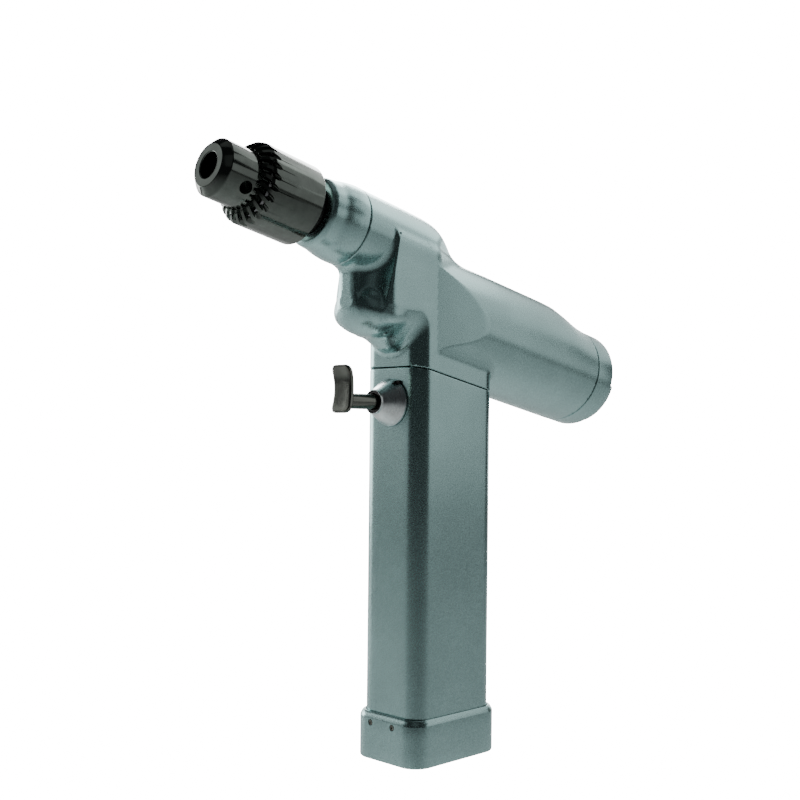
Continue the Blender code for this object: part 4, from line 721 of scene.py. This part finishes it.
class DRILL_OT_rear_cover(bpy.types.Operator):
    """Builds the screw-in rear cover with its raised grip bar"""
    bl_idname = "drill.rear_cover"
    bl_label = "Rear cover"

    def execute(self, context):
        size = context.scene.drill_sizes
        seam = size.housing_rear - GAP
        face = -0.0990
        radius = 0.0211
        rim = eased_path([(0.0162, seam - 0.002), (0.0162, seam), (0.0166, -0.0763), (0.0190, -0.0763),
                          (0.0190, -0.0783), (0.0173, -0.0783), (0.0173, -0.0802), (0.0190, -0.0802),
                          (0.0190, seam), (radius, seam), (radius, face), (0.0178, face)],
                         [0, 0, 0.0003, 0.0003, 0, 0, 0, 0, 0, 0.0003, 0.0026, 0], closed=False, count=8)
        angle = full_turn(256)
        rings = np.linspace(rim[-1, 0], 0.0, 90)[1:]
        radii = np.concatenate([[0.0], rim[:, 0], rings])
        depth = np.concatenate([[seam - 0.002], rim[:, 1], np.full(len(rings), face)])
        r, a = np.meshgrid(radii, angle, indexing="ij")
        s = np.broadcast_to(depth[:, None], r.shape).copy()
        x = r * np.cos(a)
        h = r * np.sin(a)
        # the bar stands out of the face: a band 20 mm wide with round ends, risen through an eased edge
        lean = math.radians(-40.0)
        half_width, reach, rise, edge = 0.0100, 0.0196, 0.0032, 0.0011
        across = np.abs(-x * math.sin(lean) + h * math.cos(lean)) - half_width
        outside = np.maximum(across, r - reach)
        lift = np.clip((0.0003 - outside) / edge, 0.0, 1.0)
        lift = np.sqrt(1.0 - (1.0 - lift) ** 2)
        face_rows = np.arange(len(radii)) > len(rim) - 7
        s = np.where(face_rows[:, None], s - rise * lift, s)
        mesh = mesh_of("rear_cover_form", barrel_points(x, s, h), grid_faces(len(radii), len(angle)))
        carry(add_piece(mesh, 50.0), "housing", BLASTED, "rear_cover")
        return {"FINISHED"}


class DRILL_OT_handle(bpy.types.Operator):
    """Lofts the handle shell from its foot in the battery cap up to the slanted seam"""
    bl_idname = "drill.handle"
    bl_label = "Handle shell"

    def execute(self, context):
        size = context.scene.drill_sizes
        w, d, r = size.handle_width, size.handle_depth, size.handle_corner
        wall = 0.0018
        top = size.seam_height - GAP / 2

        def below_seam(drop):
            return lambda y: seam_z(y, top) - drop

        def row(inset, height):
            return w - 2 * inset, d - 2 * inset, r - inset, height

        low = 0.0063
        rows = [row(0.0003, level(low)), row(0.0, level(low + 0.0003)), row(0.0, level(0.03)),
                row(0.0, level(0.07)), row(0.0, level(0.11)), row(0.0, below_seam(0.004)),
                row(0.0, below_seam(0.0006)), row(0.00005, below_seam(0.00035)),
                row(0.0002, below_seam(0.0001)), row(0.0005, below_seam(0.0)),
                row(wall, below_seam(0.0)), row(wall, below_seam(0.01)), row(wall, level(low))]
        points = shell_rows(rows)
        mesh = mesh_of("handle_shell_form", points, grid_faces(len(rows), points.shape[1], closed=True))
        carry(add_piece(mesh), "housing", BLASTED, "handle_shell")
        return {"FINISHED"}


class DRILL_OT_battery_cap(bpy.types.Operator):
    """Lofts the battery cap with its shoulder, and its two lock pins"""
    bl_idname = "drill.battery_cap"
    bl_label = "Battery cap"

    def execute(self, context):
        size = context.scene.drill_sizes
        w, d, r = size.cap_width, size.cap_depth, size.cap_corner
        hw, hd, hr = size.handle_width, size.handle_depth, size.handle_corner
        high = size.cap_height

        def outer(inset, z):
            return w - 2 * inset, d - 2 * inset, r - inset, level(z)

        def inner(grow, z):
            return hw + 2 * grow, hd + 2 * grow, hr + grow, level(z)

        rows = [outer(0.0012, 0.0), outer(0.0005, 0.00012), outer(0.0001, 0.0005), outer(0.0, 0.0012),
                outer(0.0, 0.006), outer(0.0, 0.011), outer(0.0, high - 0.0024), outer(0.0001, high - 0.0018),
                outer(0.0005, high - 0.0010), outer(0.0009, high - 0.00035), outer(0.0013, high),
                inner(0.0003, high), inner(0.0003, 0.0045), inner(-0.0021, 0.0045), inner(-0.0021, 0.003)]
        points = shell_rows(rows)
        mesh = mesh_of("battery_cap_form", points, capped_faces(len(rows), points.shape[1]))
        cap = add_piece(mesh)
        pin_height = 0.0146
        cutters = []
        for number, middle in enumerate((-0.0072, 0.0048), 1):
            def spot(x, s, h, middle=middle):
                return trigger_points(x + middle, s + d / 2, h + pin_height)

            hole = turned("pin_hole", [(0.0, 0.001), (0.00128, 0.001), (0.00128, -0.0020), (0.0, -0.0020)],
                          0.0, 32, spot)
            cutters.append(add_piece(hole))
            pin = eased_path([(0.0, -0.00035), (0.0005, -0.00035), (0.0005, -0.0001), (0.0011, -0.0001),
                              (0.0011, -0.0019), (0.0, -0.0019)], [0, 0.0001, 0.0001, 0.0003, 0, 0],
                             closed=False)
            mesh = turned("cap_pin_%d_form" % number, pin, 0.0, 32, spot)
            carry(add_piece(mesh), "battery_pack", GUNMETAL, "cap_pin_%d" % number)
        cut_out(cap, cutters)
        carry(cap, "battery_pack", BLASTED, "battery_cap")
        return {"FINISHED"}


# Chuck

def key_slot(middle, size):
    """A curved slot of the sleeve's bevel: a round section carried along a path that runs out and back from
    the sleeve's mouth to its outer wall while it sweeps round the axis."""
    rows, columns = 14, 16
    share = np.linspace(0.0, 1.0, rows)
    radius = size.chuck_radius - 0.0006 + (size.sleeve_radius + 0.0014 - size.chuck_radius) * share
    along = size.sleeve_front + 0.0005 - 0.0052 * share ** 1.6
    sweep = middle - math.radians(11.0) * share ** 1.7
    width = (0.00072 + 0.00056 * np.sqrt(share))[:, None]
    turn = full_turn(columns)[None, :]
    out = radius[:, None] + 0.0008 * np.cos(turn)
    angle = sweep[:, None] + width * np.sin(turn) / radius[:, None]
    run = along[:, None] + 1.25 * width * np.cos(turn)
    points = barrel_points(out * np.cos(angle), run, size.spindle_rise + out * np.sin(angle))
    return add_piece(mesh_of("key_slot", points, capped_faces(rows, columns)))


def round_axis(angle, out, side):
    """x and h of a place that lies out from the spindle's axis along an angle, and side across it."""
    return out * math.cos(angle) - side * math.sin(angle), out * math.sin(angle) + side * math.cos(angle)


class DRILL_OT_chuck(bpy.types.Operator):
    """Turns the chuck's nose, its toothed sleeve and the seal behind it"""
    bl_idname = "drill.chuck"
    bl_label = "Keyed chuck"

    def execute(self, context):
        size = context.scene.drill_sizes
        rise = size.spindle_rise
        face = size.chuck_face
        nose = size.chuck_radius
        rear = face - 0.0395
        profile = [(0.0050, face), (0.0078, face), (nose, face - 0.0025), (nose, 0.0998), (0.0091, 0.0998),
                   (0.0091, 0.0942), (0.0133, 0.0942), (0.0133, rear), (0.0062, rear), (0.0062, 0.0915),
                   (0.0021, 0.0915), (0.0021, 0.0935), (0.0047, 0.0935), (0.0047, face - 0.0003)]
        ease = [0.0001, 0.00025, 0.00035, 0, 0, 0, 0.0002, 0.0002, 0.0002, 0, 0, 0, 0.0002, 0.0001]
        mesh = turned("chuck_nose_form", eased_path(profile, ease, count=4), rise, 160)
        body = add_piece(mesh)
        cutters = []
        steps = 40
        turn = full_turn(steps)
        for k in range(3):
            # key hole: a flat-ended bore square to the axis, with a countersunk mouth
            reach = np.array([0.0, 0.0052, nose - 0.00015, nose + 0.0012])[:, None]
            bore = np.array([0.0, 0.0024, 0.0024, 0.0034])[:, None]
            x, h = round_axis(math.radians(-32.0) + math.tau * k / 3, reach, bore * np.sin(turn))
            points = barrel_points(x, face - 0.0107 + bore * np.cos(turn), rise + h)
            points[0] = points[1].mean(axis=0)
            faces = grid_faces(4, steps) + [list(range(3 * steps, 4 * steps))]
            cutters.append(add_piece(mesh_of("key_hole", points, faces)))
            # jaw bore: a round tube whose axis leans in to the spindle's at the face
            lean = math.radians(20.0)
            base, bore = 0.0275, 0.0022
            run = np.array([-0.002, 0.0285])[:, None]
            tail = 0.0011 + base * math.tan(lean)
            out = tail - run * math.sin(lean) + bore * np.cos(turn) * math.cos(lean)
            s = face - base + run * math.cos(lean) + bore * np.cos(turn) * math.sin(lean)
            x, h = round_axis(math.radians(28.0) + math.tau * k / 3, out, bore * np.sin(turn))
            mesh = mesh_of("jaw_bore", barrel_points(x, s, rise + h), capped_faces(2, steps))
            cutters.append(add_piece(mesh))
        cut_out(body, cutters)
        carry(body, "spindle_group", TURNED, "chuck_body")

        outer = size.sleeve_radius
        front, back = size.sleeve_front, size.sleeve_rear
        bore = outer - 0.0014
        profile = [(nose + 0.0003, front - 0.0002), (nose + 0.0007, front), (0.0125, front - 0.0006),
                   (0.0140, front - 0.0019), (outer, front - 0.0034), (outer, front - 0.006),
                   (outer, back + 0.006), (outer, back), (0.0140, back), (bore, back), (bore, 0.0998),
                   (nose + 0.0003, 0.0998)]
        ease = [0.0001, 0.0002, 0.0006, 0.0008, 0.0008, 0, 0, 0.0010, 0, 0.0002, 0, 0]
        mesh = turned("chuck_sleeve_form", eased_path(profile, ease, count=6), rise, 192)
        sleeve = add_piece(mesh)
        slots = []
        for k in range(size.key_teeth):
            slots.append(key_slot(math.radians(10.5) + math.tau * k / size.key_teeth, size))
        cut_out(sleeve, slots)
        carry(sleeve, "sleeve_group", TURNED, "chuck_sleeve")

        # black rubber seal in the gap behind the chuck: its black is partly the seal's own colour and partly
        # painted shade for the shadowed gap between the nose housing and the chuck
        spacer_front = rear - GAP
        profile = [(0.0091, spacer_front), (0.0091, 0.0625), (0.0080, 0.0625), (0.0080, 0.0508),
                   (0.0062, 0.0508), (0.0062, spacer_front)]
        mesh = turned("chuck_seal_and_gap_shade_form", eased_path(profile, 0.0002, count=3), rise, 96)
        carry(add_piece(mesh), "spindle_group", RUBBER, "chuck_spacer")
        return {"FINISHED"}


# Trigger

class DRILL_OT_trigger(bpy.types.Operator):
    """Builds the finger plate, its stem, the conical boss, the wiper and the lock pin"""
    bl_idname = "drill.trigger"
    bl_label = "Trigger"

    def execute(self, context):
        height = context.scene.drill_sizes.trigger_height

        def place(x, s, h):
            return trigger_points(x, s, h + height)

        # plate: a rounded section carried up a path that bows back at its middle, with round corners and a
        # dished front, narrower at the waist
        rows, columns = 49, 64
        v = (0.5 - 0.5 * np.cos(np.linspace(0.0, math.pi, rows)))[:, None]
        u = full_turn(columns)[None, :]
        low, high = -0.0047, 0.0136
        front, thick, round_off, rim = 0.0500, 0.0014, 0.0031, 0.0010
        bend = 1.0 - (2.0 * v - 1.0) ** 2
        edge = np.minimum(v, 1.0 - v) * (high - low)
        corner = round_off * (1.0 - np.sqrt(1.0 - (1.0 - np.minimum(edge / round_off, 1.0)) ** 2))
        lip = np.sqrt(1.0 - (1.0 - np.minimum(edge / rim, 1.0)) ** 2)
        half = 0.0053 - 0.0005 * bend - corner
        cx = np.sign(np.cos(u)) * np.abs(np.cos(u)) ** 0.5
        cy = np.sign(np.sin(u)) * np.abs(np.sin(u)) ** 0.5
        x = half * cx
        dish = 0.0017 * bend + 0.0005 * (1.0 - cx ** 2) * (cy > 0)
        s = front - thick - dish + thick * (0.15 + 0.85 * lip) * cy
        h = low + (high - low) * v
        mesh = mesh_of("trigger_plate_form", place(x, s, h), capped_faces(rows, columns))
        carry(add_piece(mesh, 45.0), "trigger_group", GUNMETAL, "trigger_plate")

        stem = [(0.0, 0.0475), (0.0030, 0.0475), (0.0030, 0.0215), (0.0041, 0.0215), (0.0041, 0.0200),
                (0.0018, 0.0200), (0.0018, 0.0070), (0.0, 0.0070)]
        mesh = turned("trigger_stem_form", eased_path(stem, [0, 0.0003, 0, 0, 0, 0, 0, 0], closed=False),
                      0.0, 64, place)
        carry(add_piece(mesh), "trigger_group", GUNMETAL, "trigger_stem")

        base = 0.0223 + GAP
        boss = [(0.0044, 0.0318), (0.0047, 0.0318), (0.0047, 0.0309), (0.0050, 0.0305),
                (0.0091, base + 0.0010), (0.0093, base + 0.0007), (0.0093, base), (0.0060, base),
                (0.0060, 0.0084), (0.0044, 0.0084), (0.0044, 0.0218), (0.0033, 0.0218), (0.0033, 0.0298),
                (0.0044, 0.0298)]
        ease = [0.0001, 0.0002, 0.0002, 0.0006, 0.0004, 0.0001, 0.0001, 0, 0, 0, 0, 0, 0, 0]
        mesh = turned("trigger_boss_form", eased_path(boss, ease, count=4), 0.0, 96, place)
        piece = add_piece(mesh)
        angle, circle = math.radians(57.0), 0.0090
        px, pz = circle * math.cos(angle), circle * math.sin(angle)

        def pin_place(x, s, h):
            return trigger_points(x + px, s, h + height + pz)

        notch = turned("notch", [(0.0, base + 0.006), (0.0013, base + 0.006), (0.0013, base - 0.001),
                                 (0.0, base - 0.001)], 0.0, 32, pin_place)
        cut_out(piece, [add_piece(notch)])
        carry(piece, "housing", "turned_aluminium", "trigger_boss")
        pin = eased_path([(0.0, 0.0234), (0.0010, 0.0234), (0.0010, 0.0205), (0.0, 0.0205)],
                         [0, 0.0003, 0, 0], closed=False)
        mesh = turned("boss_lock_pin_form", pin, 0.0, 32, pin_place)
        carry(add_piece(mesh), "housing", RUBBER, "boss_lock_pin")
        wiper = [(0.0041, 0.0315), (0.0041, 0.0301), (0.0033, 0.0301), (0.0033, 0.0315)]
        mesh = turned("trigger_wiper_form", eased_path(wiper, 0.0002), 0.0, 64, place)
        carry(add_piece(mesh), "housing", RUBBER, "trigger_wiper")
        return {"FINISHED"}


# Stage

def panel_light(name, target, place, size, radiance):
    """A soft panel that looks at its target from a place given as bearing (0 is +X, 90 is +Y), elevation and
    distance. Its power is its radiance times pi times its area, and the camera doesn't see it."""
    turn, lift, distance = math.radians(place[0]), math.radians(place[1]), place[2]
    width, height = size
    away = Vector((math.cos(lift) * math.cos(turn), math.cos(lift) * math.sin(turn), math.sin(lift)))
    data = bpy.data.lights.new(name, "AREA")
    data.shape = "RECTANGLE"
    data.size = width
    data.size_y = height
    data.energy = radiance * math.pi * width * height
    light = linked(data)
    light.location = Vector(target) + distance * away
    light.rotation_mode = "QUATERNION"
    light.rotation_quaternion = (-away).to_track_quat("-Z", "Y")
    light.visible_camera = False


class DRILL_OT_stage(bpy.types.Operator):
    """Lays the pale floor, hangs the soft lights and sets the camera"""
    bl_idname = "drill.stage"
    bl_label = "Stage"

    def execute(self, context):
        scene = context.scene
        # what the camera sees of floor and world comes out as pure white
        white = 18.0
        floor = bpy.data.meshes.new("floor")
        reach = 3.0
        # low enough for the battery pack to be drawn out over it
        depth = -0.125
        corners = [(-reach, -reach, depth), (reach, -reach, depth), (reach, reach, depth),
                   (-reach, reach, depth)]
        floor.from_pydata(corners, [], [(0, 1, 2, 3)])
        piece = linked(floor)
        # matt painted board: pale, no gloss, lit up to white where it is looked at
        tree, shader, place = new_finish("matt_floor_paint", 0.0, 0.8)
        cloud = noise(tree, place, 0.004, 2.0)
        tree.links.new(shade(tree, cloud, linear("F4F5F5"), linear("FAFAFA")), shader.inputs["Base Color"])
        shader.inputs["Emission Color"].default_value = (1.0, 1.0, 1.0, 1.0)
        seen = node(tree, "ShaderNodeLightPath").outputs["Is Camera Ray"]
        tree.links.new(spread(tree, seen, 0.0, white, 0.0, 1.0), shader.inputs["Emission Strength"])
        floor.materials.append(bpy.data.materials["matt_floor_paint"])

        world = bpy.data.worlds.new("studio")
        scene.world = world
        world.use_nodes = True
        tree = world.node_tree
        tree.nodes.clear()
        output = tree.nodes.new("ShaderNodeOutputWorld")
        path = node(tree, "ShaderNodeLightPath")
        seen = node(tree, "ShaderNodeBackground", {"Color": (1.0, 1.0, 1.0, 1.0), "Strength": white})
        fill = node(tree, "ShaderNodeBackground", {"Color": (0.90, 0.97, 1.0, 1.0), "Strength": 0.03})
        mix = node(tree, "ShaderNodeMixShader", links={"Fac": path.outputs["Is Camera Ray"],
                                                       1: fill.outputs["Background"],
                                                       2: seen.outputs["Background"]})
        tree.links.new(mix.outputs["Shader"], output.inputs["Surface"])

        # wide panels stand round the drill, dim on its near side and bright behind it; small boxes light
        # the nose
        middle = (0.0, 0.0, 0.14)
        nose = (0.0, -0.075, 0.21)
        panel_light("panel_right", middle, (38.0, 7.0, 1.5), (1.10, 0.62), 0.70)
        panel_light("panel_right_back", middle, (73.7, 34.0, 1.5), (2.00, 0.85), 0.85)
        panel_light("panel_back", middle, (108.0, 7.0, 1.5), (1.00, 0.62), 2.1)
        panel_light("panel_behind", middle, (150.0, 7.0, 1.5), (1.50, 0.62), 2.5)
        panel_light("panel_left_back", middle, (193.7, 7.0, 1.5), (0.80, 0.62), 5.5)
        panel_light("panel_left", middle, (223.7, 7.0, 1.5), (0.80, 0.62), 0.37)
        panel_light("panel_left_high", middle, (223.7, 29.0, 1.5), (0.80, 0.50), 0.9)
        panel_light("panel_front", middle, (-46.3, 34.0, 1.5), (0.80, 0.85), 0.07)
        panel_light("softbox_nose", nose, (133.7, 25.0, 0.33), (0.22, 0.22), 10.5)
        panel_light("softbox_barrel", nose, (88.0, 40.0, 0.33), (0.22, 0.22), 1.4)
        panel_light("softbox_top", middle, (90.0, 86.0, 1.2), (1.0, 1.0), 0.15)

        data = bpy.data.cameras.new("camera")
        data.lens = 52.631
        data.sensor_width = 36.0
        data.shift_y = 0.0395
        data.clip_start = 0.01
        camera = linked(data)
        camera.location = (0.3264, -0.34147, 0.12905)
        bearing = math.radians(43.707) + 0.025517
        roll = -0.010573
        ahead = Vector((-math.sin(bearing), math.cos(bearing), 0.0))
        camera.rotation_mode = "QUATERNION"
        camera.rotation_quaternion = Quaternion(ahead, roll) @ ahead.to_track_quat("-Z", "Y")
        scene.camera = camera
        return {"FINISHED"}


class DRILL_PT_panel(bpy.types.Panel):
    """Lists the drill's pieces, sizes and finishes"""
    bl_idname = "DRILL_PT_panel"
    bl_label = "Surgical Drill"
    bl_space_type = "VIEW_3D"
    bl_region_type = "UI"
    bl_category = "Surgical Drill"

    def draw(self, context):
        column = self.layout.column(align=True)
        for operator in OPERATORS:
            column.operator(operator.bl_idname)
        for group in (context.scene.drill_sizes, context.scene.drill_finishes):
            for name in group.bl_rna.properties.keys():
                if name not in ("name", "rna_type"):
                    column.prop(group, name)


OPERATORS = (DRILL_OT_finishes, DRILL_OT_main_housing, DRILL_OT_nose_housing, DRILL_OT_rear_cover,
             DRILL_OT_handle, DRILL_OT_battery_cap, DRILL_OT_chuck, DRILL_OT_trigger, DRILL_OT_stage)
CLASSES = (DrillSizes, DrillFinishes) + OPERATORS + (DRILL_PT_panel,)


def register():
    for item in CLASSES:
        bpy.utils.register_class(item)
    bpy.types.Scene.drill_sizes = PointerProperty(type=DrillSizes)
    bpy.types.Scene.drill_finishes = PointerProperty(type=DrillFinishes)


def unregister():
    del bpy.types.Scene.drill_finishes
    del bpy.types.Scene.drill_sizes
    for item in reversed(CLASSES):
        bpy.utils.unregister_class(item)


def main():
    """Builds every piece and the stage."""
    register()
    for operator in OPERATORS:
        area, name = operator.bl_idname.split(".")
        getattr(getattr(bpy.ops, area), name)()


if __name__ == "__main__":
    main()
